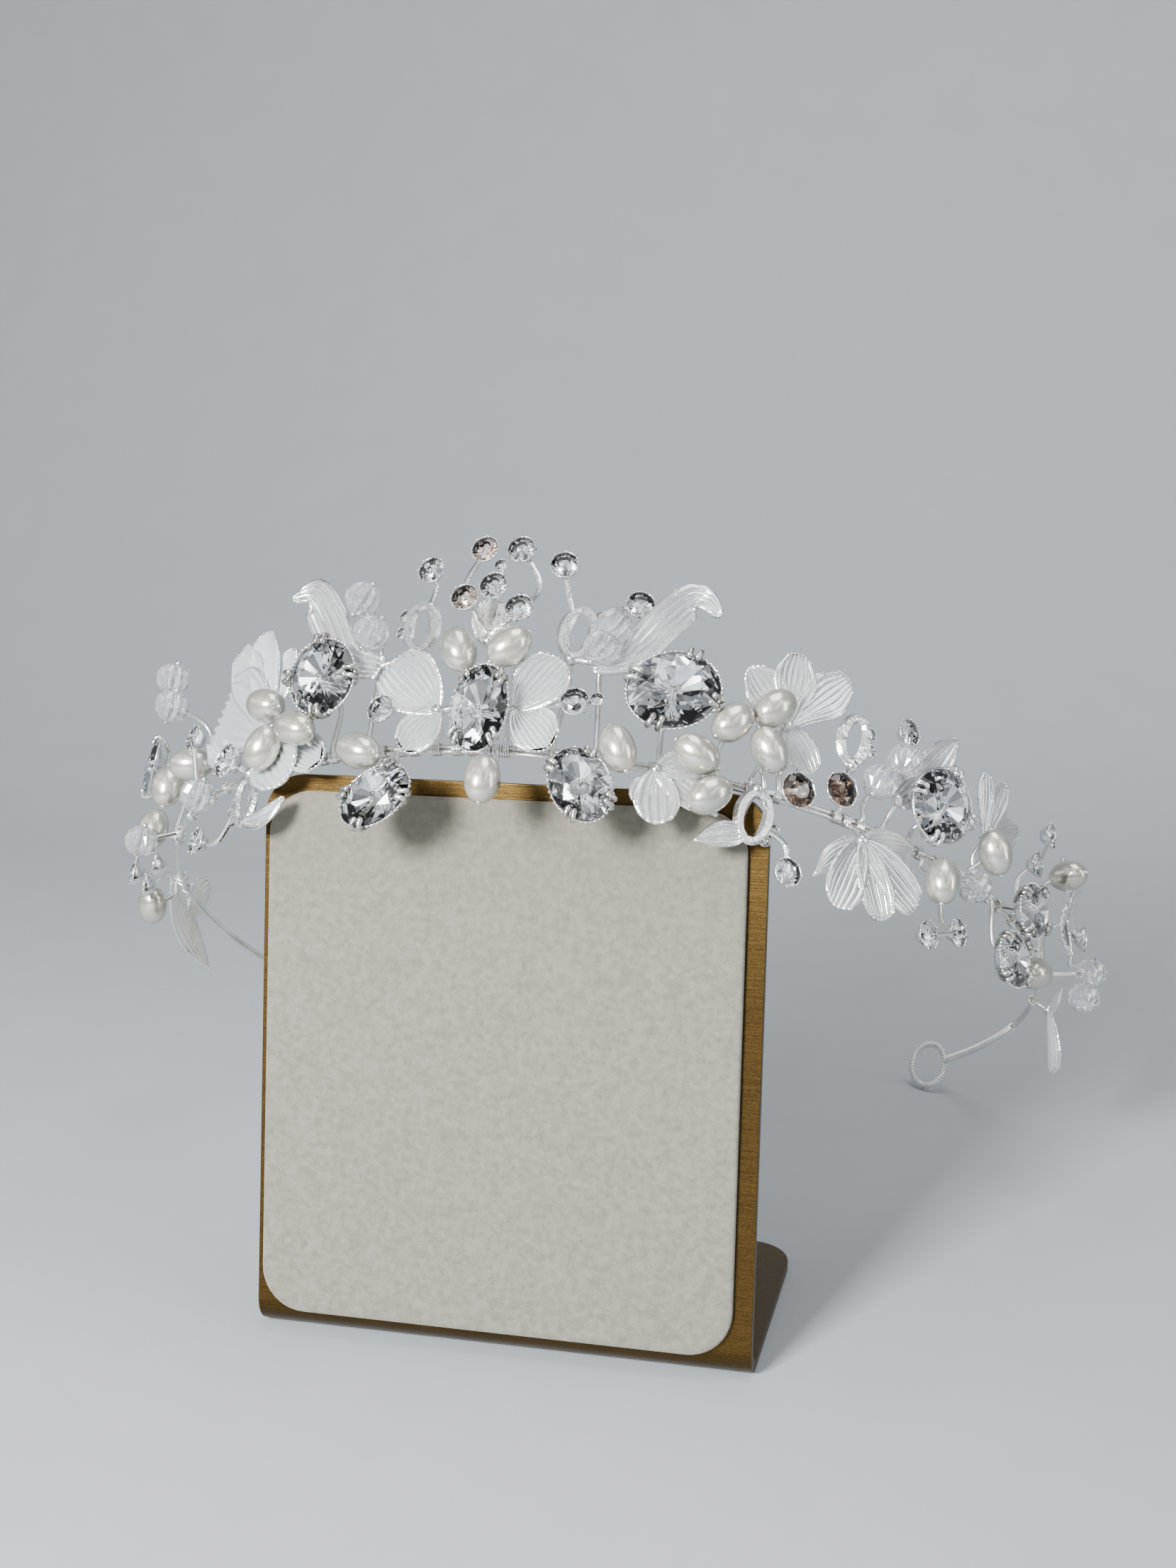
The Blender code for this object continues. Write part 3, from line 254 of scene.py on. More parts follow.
# Petals and leaves: width is a share of the length, cup lifts the sides, path runs root to tip
PETALS = [
    # node, outline, width, cup, path of (along, up, out)
    Petal("orchid", "fan", 0.86, 0.30, ((-0.049, 0.15, 0.50), (-0.100, 0.38, 0.62))),
    Petal("orchid", "fan", 0.90, 0.30, ((-0.049, 0.15, 0.50), (-0.072, -0.05, 0.55))),
    Petal("orchid", "fan", 0.86, 0.30, ((0.024, 0.17, 0.50), (0.058, 0.40, 0.62))),
    Petal("orchid", "fan", 0.90, 0.30, ((0.024, 0.17, 0.50), (0.057, -0.01, 0.55))),
    Petal("crest", "fan", 0.80, 0.10, ((-0.012, 0.48, 0.45), (-0.012, 0.70, 0.55))),
    Petal("scroll_upper_left", "ribbon", 0.26, 0.20, (
        (-0.115, 0.38, 0.50), (-0.158, 0.46, 0.50), (-0.187, 0.67, 0.55),
        (-0.208, 0.82, 0.75), (-0.226, 0.80, 1.00))),
    Petal("scroll_upper_right", "ribbon", 0.22, 0.20, (
        (0.085, 0.42, 0.50), (0.118, 0.48, 0.50), (0.146, 0.68, 0.55),
        (0.172, 0.81, 0.75), (0.191, 0.72, 1.05))),
    Petal("scroll_left", "ribbon", 0.32, 0.20, (
        (-0.258, -0.30, 0.50), (-0.232, -0.31, 0.50), (-0.208, -0.22, 0.45))),
    Petal("scroll_right_low", "pointed", 0.45, 0.20, (
        (0.243, -0.26, 0.50), (0.222, -0.28, 0.52), (0.196, -0.34, 0.55))),
    Petal("flower_left", "fan", 1.05, 0.25, ((-0.247, 0.14, 0.50), (-0.336, 0.36, 0.60))),
    Petal("flower_left", "spoon", 0.40, 0.20, ((-0.247, 0.14, 0.50), (-0.318, 0.66, 0.70))),
    Petal("flower_left", "spoon", 0.40, 0.20, ((-0.247, 0.14, 0.50), (-0.278, 0.70, 0.70))),
    Petal("flower_left", "spoon", 0.34, 0.20, ((-0.247, 0.14, 0.50), (-0.236, 0.58, 0.50))),
    Petal("flower_left", "fan", 0.90, 0.25, ((-0.247, 0.14, 0.50), (-0.205, -0.14, 0.60))),
    Petal("flower_left", "fan", 0.45, 0.25, ((-0.247, 0.14, 0.50), (-0.166, -0.06, 0.50))),
    Petal("flower_right", "spoon", 0.55, 0.20, ((0.155, -0.04, 0.45), (0.139, -0.20, 0.50))),
    Petal("flower_right", "fan", 0.80, 0.25, ((0.155, -0.04, 0.45), (0.160, -0.29, 0.55))),
    Petal("flower_right", "pointed", 0.42, 0.25, ((0.155, -0.04, 0.45), (0.212, -0.20, 0.55))),
    Petal("flower_right", "fan", 0.60, 0.25, ((0.155, -0.04, 0.45), (0.202, 0.06, 0.55))),
    Petal("flower_right_upper", "spoon", 0.72, 0.25, ((0.272, 0.33, 0.45), (0.230, 0.54, 0.55))),
    Petal("flower_right_upper", "spoon", 0.62, 0.25, ((0.272, 0.33, 0.45), (0.274, 0.67, 0.60))),
    Petal("flower_right_upper", "spoon", 0.52, 0.25, ((0.272, 0.33, 0.45), (0.328, 0.63, 0.60))),
    Petal("flower_right_upper", "fan", 0.70, 0.25, ((0.272, 0.33, 0.45), (0.300, 0.13, 0.50))),
    Petal("leaf_right", "fan", 0.55, 0.25, ((0.365, -0.11, 0.45), (0.338, -0.46, 0.55))),
    Petal("leaf_right", "fan", 0.55, 0.25, ((0.365, -0.11, 0.45), (0.392, -0.45, 0.55))),
    Petal("leaf_right", "fan", 0.55, 0.25, ((0.365, -0.11, 0.45), (0.434, -0.33, 0.50))),
    Petal("leaf_right", "pointed", 0.40, 0.25, ((0.365, -0.11, 0.45), (0.436, -0.03, 0.35))),
    Petal("leaf_right", "pointed", 0.45, 0.20, ((0.365, -0.11, 0.45), (0.318, -0.34, 0.35))),
    Petal("leaf_ribbon_right", "ribbon", 0.36, 0.20, (
        (0.405, 0.16, 0.42), (0.444, 0.36, 0.42), (0.475, 0.60, 0.60))),
    Petal("petals_right", "spoon", 0.46, 0.20, ((0.545, 0.20, 0.45), (0.528, 0.52, 0.60))),
    Petal("petals_right", "spoon", 0.46, 0.20, ((0.545, 0.20, 0.45), (0.565, 0.54, 0.60))),
    Petal("petals_right", "spoon", 0.46, 0.20, ((0.545, 0.20, 0.45), (0.600, 0.36, 0.60))),
    Petal("flower_far_right", "fan", 0.85, 0.25, ((0.815, 0.25, 0.70), (0.880, 0.44, 0.90))),
    Petal("flower_far_right", "fan", 0.70, 0.25, ((0.815, 0.25, 0.70), (0.805, 0.00, 0.90))),
    Petal("flower_far_right", "fan", 0.85, 0.25, ((0.815, 0.25, 0.70), (0.750, 0.10, 0.80))),
    Petal("flower_far_right", "fan", 0.90, 0.25, ((0.815, 0.25, 0.70), (0.795, 0.58, 0.60))),
    Petal("leaf_end_right", "fan", 0.95, 0.25, ((0.955, -0.05, 0.45), (0.982, -0.36, 0.70))),
    Petal("leaf_end_right", "pointed", 0.45, 0.25, ((0.955, -0.05, 0.45), (0.915, 0.02, 0.70))),
    Petal("leaf_end_left", "pointed", 0.26, 0.25, (
        (-0.730, 0.05, 0.50), (-0.820, -0.04, 0.60), (-0.915, -0.22, 0.60))),
    Petal("leaf_end_left", "fan", 0.65, 0.25, ((-0.820, -0.02, 0.55), (-0.868, 0.24, 0.60))),
]

Ring = namedtuple("Ring", "node along up out roll")

# Open ribbon rings of the scrolls
RINGS = [
    # node, along, up, out, roll
    Ring("scroll_upper_left", -0.080, 0.58, 0.50, 8),
    Ring("scroll_upper_right", 0.070, 0.57, 0.50, -8),
    Ring("scroll_left", -0.265, -0.19, 0.50, 12),
    Ring("scroll_right_low", 0.249, -0.16, 0.50, -10),
    Ring("scroll_right_high", 0.345, 0.36, 0.50, -12),
]

Stud = namedtuple("Stud", "node kind along up out path")

# Small stones cast into a frame: on a short wire that starts at the path's first place, or
# against the ring where there is no path
STUDS = [
    # node, kind, along, up, out, path of (along, up, out)
    Stud("scroll_upper_left", "pave", -0.1000, 0.65, 0.50, ()),
    Stud("scroll_upper_left", "pave", -0.1005, 0.56, 0.50, ()),
    Stud("scroll_upper_left", "small_cup", -0.080, 0.88, 0.55, (
        (-0.076, 0.69, 0.50), (-0.073, 0.78, 0.45))),
    Stud("scroll_upper_right", "pave", 0.088, 0.66, 0.50, ()),
    Stud("scroll_upper_right", "small_cup", 0.048, 0.91, 0.55, (
        (0.062, 0.67, 0.50), (0.055, 0.78, 0.45))),
    Stud("scroll_upper_right", "small_cup", 0.122, 0.76, 0.45, (
        (0.080, 0.66, 0.48), (0.100, 0.73, 0.30))),
    Stud("scroll_left", "pave", -0.2770, -0.28, 0.50, ()),
    Stud("scroll_left", "pave", -0.2850, -0.22, 0.50, ()),
    Stud("scroll_left", "big_cup", -0.277, -0.01, 1.08, ((-0.265, -0.05, 0.50),)),
    Stud("scroll_left", "small_cup", -0.333, -0.34, 0.67, (
        (-0.278, -0.24, 0.50), (-0.305, -0.36, 0.45))),
    Stud("scroll_right_low", "pave", 0.261, -0.26, 0.50, ()),
    Stud("scroll_right_low", "pave", 0.269, -0.20, 0.50, ()),
    Stud("scroll_right_low", "big_cup", 0.280, -0.02, 1.00, ((0.252, -0.04, 0.50),)),
    Stud("scroll_right_low", "small_cup", 0.284, -0.39, 0.67, (
        (0.262, -0.21, 0.50), (0.281, -0.26, 0.55))),
    Stud("scroll_right_high", "pave", 0.364, 0.42, 0.50, ()),
    Stud("scroll_right_high", "pave", 0.366, 0.34, 0.50, ()),
    Stud("scroll_right_high", "big_cup", 0.323, 0.05, 1.00, (
        (0.345, 0.23, 0.50), (0.333, 0.15, 0.60))),
    Stud("orchid", "small_cup", -0.100, 0.14, 0.83, ((-0.060, 0.16, 0.50),)),
    Stud("orchid", "small_cup", 0.076, 0.21, 0.72, ((0.030, 0.18, 0.50),)),
    Stud("orchid", "pave", 0.095, 0.24, 0.66, ((0.070, 0.21, 0.62),)),
    Stud("crest", "small_cup", -0.029, 0.98, 0.55, (
        (-0.018, 0.56, 0.50), (-0.044, 0.78, 0.45))),
    Stud("crest", "small_cup", 0.006, 0.98, 0.55, (
        (-0.006, 0.56, 0.50), (0.028, 0.78, 0.45))),
    Stud("crest", "pave", -0.012, 0.90, 0.50, ((-0.012, 0.66, 0.50),)),
    Stud("crest", "small_cup", -0.037, 0.70, 0.80, ((-0.014, 0.54, 0.50),)),
    Stud("crest", "small_cup", -0.009, 0.74, 1.00, ((-0.012, 0.58, 0.50),)),
    Stud("crest", "small_cup", 0.016, 0.64, 0.90, ((-0.010, 0.54, 0.50),)),
    Stud("flower_far_right", "small_cup", 0.862, 0.24, 1.20, ((0.815, 0.25, 0.70),)),
    Stud("leaf_end_left", "small_cup", -0.714, 0.10, 1.00, ((-0.730, 0.05, 0.50),)),
    Stud("leaf_end_left", "small_cup", -0.646, -0.14, 0.80, (
        (-0.730, 0.05, 0.50), (-0.690, 0.02, 0.50))),
]

Bridge = namedtuple("Bridge", "node path")

# Plain wires that join the parts of one casting
BRIDGES = [
    # node, path of (along, up, out)
    Bridge("orchid", ((-0.049, 0.15, 0.45), (-0.012, 0.20, 0.40), (0.024, 0.17, 0.45))),
    Bridge("scroll_upper_left", ((-0.080, 0.45, 0.45), (-0.120, 0.39, 0.50))),
    Bridge("scroll_upper_right", ((0.066, 0.44, 0.45), (0.090, 0.43, 0.50))),
    Bridge("scroll_right_low", ((0.252, -0.27, 0.50), (0.236, -0.27, 0.50))),
]

STONE_SIZES = {
    "big_oval": (BIG_OVAL_LENGTH, BIG_OVAL_WIDTH),
    "long_oval": (LONG_OVAL_LENGTH, LONG_OVAL_WIDTH),
    "small_oval": (SMALL_OVAL_LENGTH, SMALL_OVAL_WIDTH),
}
CUP_SIZES = {"big_cup": BIG_CUP, "small_cup": SMALL_CUP, "pave": PAVE_STONE}

# Settings as turned forms: radius and height, as shares of half the stone's width
OVAL_CUP = (
    (0.40, -0.45), (0.62, -0.46), (0.97, -0.10), (1.00, -0.03),
    (0.99, 0.0), (0.97, -0.03), (0.60, -0.42), (0.40, -0.43))
ROUND_CUP = (
    (0.30, -0.78), (0.45, -0.80), (0.95, -0.16), (1.00, 0.0),
    (0.99, 0.06), (0.96, 0.06), (0.95, 0.0), (0.36, -0.70))


def band_axes(tilt):
    """Directions across the head wire's plane, down its slope and square to it."""
    across = Vector((1, 0, 0))
    slope = Vector((0, math.cos(tilt), -math.sin(tilt)))
    return across, slope, across.cross(slope)


def band_front(tilt):
    """Middle of the head wire, where the wire just clears the plate's top rear edge."""
    front_y = PLATE_HEIGHT * math.sin(PLATE_LEAN) - FOOT_DEPTH / 2
    rear_y = front_y + SHEET * math.cos(PLATE_LEAN)
    rear_z = PLATE_HEIGHT * math.cos(PLATE_LEAN) - SHEET * math.sin(PLATE_LEAN)
    y = front_y - BAND_OVERHANG
    rise = (rear_y - y) * math.tan(tilt) + (HEAD_WIRE / 2 + GAP) / math.cos(tilt)
    return Vector((BAND_SHIFT, y, rear_z + rise))


def band_frame(angle, tilt):
    """Place, direction, up and outward directions of the head wire at an angle round it."""
    across, slope, up = band_axes(tilt)
    x = BAND_HALF_WIDTH * math.sin(angle)
    depth = BAND_HALF_DEPTH * (1 - math.cos(angle))
    heading = Vector((BAND_HALF_WIDTH * math.cos(angle), BAND_HALF_DEPTH * math.sin(angle)))
    heading.normalize()
    tangent = across * heading.x + slope * heading.y
    outward = across * heading.y - slope * heading.x
    return band_front(tilt) + across * x + slope * depth, tangent, up, outward


def loop_axes(side, tilt):
    """Centre and in-plane directions of the end loop on one side."""
    end, tangent, up, outward = band_frame(side * BAND_END_ANGLE, tilt)
    onward = tangent * side * math.cos(LOOP_TURN) - outward * math.sin(LOOP_TURN)
    centre = end + onward * LOOP_HALF_LENGTH - up * LOOP_DROP
    return centre, onward, up


def loop_clearance(tilt):
    """Height of the end loops' lowest point above the ground."""
    centre, onward, up = loop_axes(1, tilt)
    reach = math.hypot(LOOP_HALF_LENGTH * onward.z, LOOP_HALF_HEIGHT * up.z)
    return centre.z - reach - HEAD_WIRE / 2 - GAP


def resting_tilt():
    """Slope at which the wire lies on the plate's edge and the loops on the ground."""
    low, high = math.radians(10), math.radians(60)
    for _ in range(50):
        middle = (low + high) / 2
        if loop_clearance(middle) > 0:
            low = middle
        else:
            high = middle
    return low


TILT = resting_tilt()
ANGLES = np.linspace(0, BAND_END_ANGLE, 2001)
SPEEDS = np.hypot(BAND_HALF_WIDTH * np.cos(ANGLES), BAND_HALF_DEPTH * np.sin(ANGLES))
LENGTHS = np.concatenate(([0], np.cumsum((SPEEDS[1:] + SPEEDS[:-1]) / 2 * np.diff(ANGLES))))


def frame_at(along):
    """Head wire's frame at a share of REACH from the middle."""
    distance = along * REACH
    angle = math.copysign(float(np.interp(abs(distance), LENGTHS, ANGLES)), distance)
    return band_frame(angle, TILT)


def spot(along, up, out):
    """World place of a share of REACH along, CREST_HEIGHT up and STONE_LIFT out."""
    place, _, upward, outward = frame_at(along)
    return place + upward * up * CREST_HEIGHT + outward * out * STONE_LIFT


def pose(along, up, out, roll=0, swing=0):
    """Matrix that sets a piece there: x along the wire, y up, z out, then roll and swing."""
    _, tangent, upward, outward = frame_at(along)
    axes = Matrix((tangent, upward, outward)).transposed().to_4x4()
    turn = Matrix.Rotation(math.radians(swing), 4, "Y") @ Matrix.Rotation(math.radians(roll), 4, "Z")
    return Matrix.Translation(spot(along, up, out)) @ axes @ turn


def stem_points(along, up, out, root):
    """Route of a wire: off the head wire, along it in the layer behind the stones, then out."""
    place, _, upward, outward = frame_at(root)
    start = HEAD_WIRE / 2 + GAP
    height = up * CREST_HEIGHT
    side = math.copysign(1, height)
    bend = 3 * STEM_WIRE
    if abs(height) < start + bend:
        lift = out * STONE_LIFT
        first = upward * height + outward * lift
        first = first.normalized() * start
        return [place + first, spot(along, up, out)]
    base = place + upward * side * start + outward * STEM_LAYER
    here, _, up_there, out_there = frame_at(along)
    turn = here + up_there * (height - side * bend) + out_there * STEM_LAYER
    return [base, turn, spot(along, up, out)]


def smooth_point(places, step, part):
    """Point of the smooth curve through the places, a share of the way past one of them."""
    before = places[max(step - 1, 0)]
    start, end = places[step], places[step + 1]
    after = places[min(step + 2, len(places) - 1)]
    a = 2 * start
    b = end - before
    c = 2 * before - 5 * start + 4 * end - after
    d = -before + 3 * start - 3 * end + after
    return (a + b * part + c * part ** 2 + d * part ** 3) / 2


def spline(places, steps):
    """Points of the smooth curve through the places."""
    points = []
    for step in range(len(places) - 1):
        points += [smooth_point(places, step, part / steps) for part in range(steps)]
    return points + [places[-1]]


class Shape:
    """Mesh of one piece, gathered part by part, each part in its own finish."""

    def __init__(self):
        self.places = []
        self.faces = []
        self.slots = []
        self.smooth = []
        self.finishes = []

    def add(self, places, faces, finish, smooth=True):
        """Add faces that stand on their own places."""
        if finish not in self.finishes:
            self.finishes.append(finish)
        start = len(self.places)
        self.places += [tuple(place) for place in places]
        self.faces += [tuple(start + corner for corner in face) for face in faces]
        self.slots += [self.finishes.index(finish)] * len(faces)
        self.smooth += [smooth] * len(faces)

    def skin(self, rows, finish, smooth=True, loop=False):
        """Closed skin over rings of points, which meet end to end where loop is set."""
        rows = np.asarray(rows, float)
        count, sides, _ = rows.shape
        faces = []
        for row in range(count if loop else count - 1):
            after = (row + 1) % count
            for side in range(sides):
                beside = (side + 1) % sides
                corners = (row, side), (row, beside), (after, beside), (after, side)
                faces.append(tuple(line * sides + place for line, place in corners))
        if not loop:
            faces.append(tuple(range(sides)))
            faces.append(tuple((count - 1) * sides + side for side in range(sides)))
        self.add(rows.reshape(-1, 3), faces, finish, smooth)

    def sheet(self, rows, thickness, finish):
        """Curved sheet of even thickness through a grid of points."""
        rows = np.asarray(rows, float)
        count, width, _ = rows.shape
        normals = np.cross(np.gradient(rows, axis=0), np.gradient(rows, axis=1))
        normals /= np.maximum(np.linalg.norm(normals, axis=2, keepdims=True), 1e-12)
        upper = rows + normals * thickness / 2
        lower = rows - normals * thickness / 2
        self.skin(np.concatenate([upper, lower[:, ::-1]], axis=1), finish)

    def tube(self, points, radius, finish, sides=8, loop=False, smooth=True):
        """Round wire through points, with one radius or one for each point."""
        centres = np.asarray([tuple(point) for point in points], float)
        radii = np.broadcast_to(np.asarray(radius, float), (len(centres),))
        side, lift = turned_frames(centres, loop)
        angles = np.linspace(0, 2 * math.pi, sides, endpoint=False)
        turn = angles[None, :, None]
        arm = side[:, None] * np.cos(turn) + lift[:, None] * np.sin(turn)
        self.skin(centres[:, None] + arm * radii[:, None, None], finish, smooth, loop)

    def lathe(self, matrix, profile, sides, size, finish):
        """Turned form: the profile's rows of radius and height, stretched to half-sizes."""
        turns = [2 * math.pi * side / sides for side in range(sides)]
        rows = []
        for radius, height in profile:
            rows.append([matrix @ oval_point(turn, size, height * size[2], radius) for turn in turns])
        self.skin(rows, finish)

    def ball(self, matrix, radius, finish, sides=8):
        """Small round bead of metal."""
        steps = max(sides // 2, 3)
        angles = [math.pi * step / steps for step in range(steps + 1)]
        profile = [(max(math.sin(angle), 0.02), math.cos(angle)) for angle in angles]
        self.lathe(matrix, profile, sides, (radius, radius, radius), finish)

    def made(self, name, slot, nodes):
        """Turn the gathered parts into a piece that stands for its nodes."""
        mesh = bpy.data.meshes.new(name)
        mesh.from_pydata(self.places, [], self.faces)
        mesh.polygons.foreach_set("material_index", self.slots)
        mesh.polygons.foreach_set("use_smooth", self.smooth)
        for finish in self.finishes:
            mesh.materials.append(FINISH_MAKERS[finish]())
        work = bmesh.new()
        work.from_mesh(mesh)
        bmesh.ops.recalc_face_normals(work, faces=work.faces)
        work.to_mesh(mesh)
        work.free()
        piece = bpy.data.objects.new(name, mesh)
        bpy.context.scene.collection.objects.link(piece)
        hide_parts(*nodes)
        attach(piece, "root")
        return piece


def oval_point(angle, size, height, share=1.0):
    """Place at an angle on a share of an oval with the given half-sizes, at a height."""
    return Vector((math.cos(angle) * share * size[0], math.sin(angle) * share * size[1], height))


def turned_frames(centres, loop):
    """Side and lift directions along a route, turned as little as possible."""
    if loop:
        heading = np.roll(centres, -1, axis=0) - np.roll(centres, 1, axis=0)
    else:
        heading = np.gradient(centres, axis=0)
    heading /= np.maximum(np.linalg.norm(heading, axis=1, keepdims=True), 1e-12)
    hint = np.eye(3)[np.argmin(np.abs(heading[0]))]
    side = np.cross(heading[0], hint)
    sides = []
    for ahead in heading:
        side = side - ahead * np.dot(side, ahead)
        side = side / np.linalg.norm(side)
        sides.append(side)
    sides = np.array(sides)
    return sides, np.cross(heading, sides)


def cut_stone(shape, matrix, size, crown, depth, stone, foil):
    """Brilliant-cut stone: a clear crown over foil-backed facets."""
    def around(count, first, share, height):
        turns = [2 * math.pi * (step + first) / count for step in range(count)]
        return [matrix @ oval_point(turn, size, height, share) for turn in turns]
    table = around(8, 0.0, 0.56, crown)
    star = around(8, 0.5, 0.80, crown * 0.58)
    girdle = around(16, 0.0, 1.0, 0.0)
    faces = [tuple(range(8))]
    for step in range(8):
        after = (step + 1) % 8
        kite = 16 + 2 * step
        middle = 16 + 2 * step + 1
        following = 16 + 2 * after
        faces.append((step, after, 8 + step))
        faces.append((step, 8 + step, kite, 8 + (step - 1) % 8))
        faces.append((8 + step, middle, kite))
        faces.append((8 + step, following, middle))
    shape.add(table + star + girdle, faces, stone, smooth=False)
    lower = around(8, 0.5, 0.52, -depth * 0.55)
    point = around(8, 0.0, 0.10, -depth)
    faces = [tuple(range(24, 32))]
    for step in range(8):
        after = (step + 1) % 8
        kite = 2 * step
        middle = 2 * step + 1
        following = 2 * after
        faces.append((kite, middle, 16 + step))
        faces.append((middle, following, 16 + step))
        faces.append((following, 24 + after, 16 + step))
        faces.append((following, 16 + after, 24 + after))
        faces.append((24 + step, 16 + step, 24 + after))
    shape.add(girdle + lower + point, faces, foil, smooth=False)


def claw(shape, matrix, size, angle, base, top, finish):
    """Prong that rises from the setting's base and bends over the stone's edge."""
    route = ((0.62, base), (0.90, base * 0.55), (1.06, 0.0), (1.02, top * 0.8), (0.86, top))
    points = [matrix @ oval_point(angle, size, height, share) for share, height in route]
    shape.tube(spline(points, 3), CLAW_WIRE / 2, finish, sides=6)
    shape.ball(Matrix.Translation(points[-1]), CLAW_WIRE * 0.62, finish)


def coil(shape, along, finish):
    """Fine wire wound round the head wire where a stem is tied on."""
    points = []
    radius = HEAD_WIRE / 2 + COIL_WIRE / 2
    steps = 10
    half = COIL_TURNS * COIL_WIRE * 1.15 / 2
    for step in range(COIL_TURNS * steps + 1):
        share = step / (COIL_TURNS * steps)
        place, _, upward, outward = frame_at(along + (2 * share - 1) * half / REACH)
        angle = 2 * math.pi * step / steps
        points.append(place + (upward * math.cos(angle) + outward * math.sin(angle)) * radius)
    shape.tube(points, COIL_WIRE / 2, finish, sides=5)


def stem(shape, row):
    """Stem wire from the head wire to an ornament, with its coil."""
    points = [frame_at(row.root)[0]] + stem_points(row.along, row.up, row.out, row.root)
    shape.tube(spline(points, 5), STEM_WIRE / 2, "bright_wire")
    coil(shape, row.root, "bright_wire")


def set_oval(shape, piece, look):
    """Large oval stone: cut stone, cup, rim of beads or wire, and claws."""
    matrix = pose(*piece[2:7])
    length, width = STONE_SIZES[piece.kind]
    size = (length / 2, width / 2)
    unit = width / 2
    inner = (size[0] * 0.975, size[1] * 0.975)
    cut_stone(shape, matrix, inner, 0.27 * unit, 0.42 * unit, look.stone, look.foil)
    shape.lathe(matrix, OVAL_CUP, 40, (*size, unit), look.metal)
    if look.rim == "beaded":
        count = int(round(math.pi * (size[0] + size[1]) / RIM_BALL_STEP))
        for step in range(count):
            place = oval_point(2 * math.pi * step / count, size, -0.03 * unit)
            shape.ball(matrix @ Matrix.Translation(place), RIM_BALL, look.metal, sides=6)
    else:
        turns = [2 * math.pi * step / 40 for step in range(40)]
        rim = [matrix @ oval_point(turn, size, -0.02 * unit, 0.99) for turn in turns]
        shape.tube(rim, RIM_THREAD, look.metal, sides=6, loop=True)
    for corner in range(4):
        for shift in (-0.11, 0.11):
            angle = math.pi / 4 + corner * math.pi / 2 + shift
            claw(shape, matrix, size, angle, -0.44 * unit, 0.20 * unit, look.claw)


def set_cup(shape, kind, matrix, look):
    """Small round stone in a thin cup."""
    half = CUP_SIZES[kind] / 2
    inner = (half * 0.95, half * 0.95)
    cut_stone(shape, matrix, inner, 0.26 * half, 0.62 * half, look.stone, look.foil)
    shape.lathe(matrix, ROUND_CUP, 24 if kind != "pave" else 14, (half, half, half), look.metal)
    if kind == "pave":
        return
    for step in range(8):
        place = oval_point(math.pi * step / 4, (half, half), 0.08 * half)
        shape.ball(matrix @ Matrix.Translation(place), CUP_BALL, look.claw, sides=6)


def rice_pearl(shape, matrix):
    """Rice pearl, a little uneven, with the wire's ends showing at its drill holes."""
    rows = []
    steps = 14
    sides = 22
    for step in range(steps + 1):
        angle = math.pi * step / steps
        radius = max(math.sin(angle), 0.03) ** 0.92
        row = []
        for side in range(sides):
            turn = 2 * math.pi * side / sides
            wave = 1 + 0.012 * math.sin(3 * turn + 2 * angle) + 0.010 * math.sin(2 * turn - 3 * angle)
            reach = PEARL_WIDTH / 2 * radius * wave
            along = PEARL_LENGTH / 2 * math.cos(angle)
            row.append(matrix @ Vector((along, reach * math.cos(turn), reach * math.sin(turn))))
        rows.append(row)
    shape.skin(rows, "nacre")
    for end in (-1, 1):
        tip = matrix @ Matrix.Translation((end * PEARL_LENGTH * 0.5, 0, 0))
        shape.ball(tip, PEARL_TIP, "bright_wire")


def melon_bead(shape, matrix):
    """Clear bead with long pressed facets, and a small metal end at its hole."""
    lobes = 12
    sides = lobes * 2
    steps = 6
    rows = []
    for step in range(steps + 1):
        angle = math.pi * step / steps
        across = max(math.sin(angle), 0.16)
        row = []
        for side in range(sides):
            turn = 2 * math.pi * side / sides
            rib = 1.0 if side % 2 else 1 - 0.15 * across
            reach = BEAD / 2 * across * rib
            along = BEAD / 2 * 0.94 * math.cos(angle)
            row.append(matrix @ Vector((along, reach * math.cos(turn), reach * math.sin(turn))))
        rows.append(row)
    shape.skin(rows, "clear_bead", smooth=False)
    for end in (-1, 1):
        tip = matrix @ Matrix.Translation((end * BEAD * 0.47, 0, 0))
        shape.ball(tip, BEAD_TIP, "bright_wire")


PetalLook = namedtuple("PetalLook", "face rim ridges depth scallops")


def petal_rows(row, look, steps=20, columns=37):
    """Grid of points over a ribbed petal, from its root to its scalloped end."""
    places = [spot(*step) for step in row.path]
    normals = [frame_at(step[0])[3] for step in row.path]
    shares = OUTLINES[row.outline]
    length = sum((b - a).length for a, b in zip(places, places[1:]))
    half = row.width * length / 2
    stops = np.linspace(0, 1, len(shares))
    grid = []
    for index in range(steps):
        travel = index / (steps - 1)
        share = smooth_share(travel, stops, shares)
        place = travel * (len(places) - 1)
        step = min(int(place), len(places) - 2)
        part = place - step
        here = smooth_point(places, step, part)
        heading = (smooth_point(places, step, part + 0.02) - here).normalized()
        normal = normals[step].lerp(normals[step + 1], part).normalized()
        side = heading.cross(normal).normalized()
        lift = side.cross(heading).normalized()
        line = []
        for count in range(columns):
            column = 2 * count / (columns - 1) - 1
            sway = side * column * share * half
            droop = -heading * column ** 2 * travel * half * 0.35
            wave = math.pi * look.ridges * column
            scallop = heading * half * look.scallops * travel ** 3 * abs(math.cos(wave / 2))
            rise = column ** 2 * row.cup * share * half
            rib = look.depth * math.cos(wave) * min(1.0, 0.35 + travel)
            line.append(here + sway + droop + scallop + lift * (rise + rib))
        grid.append(line)
    return grid


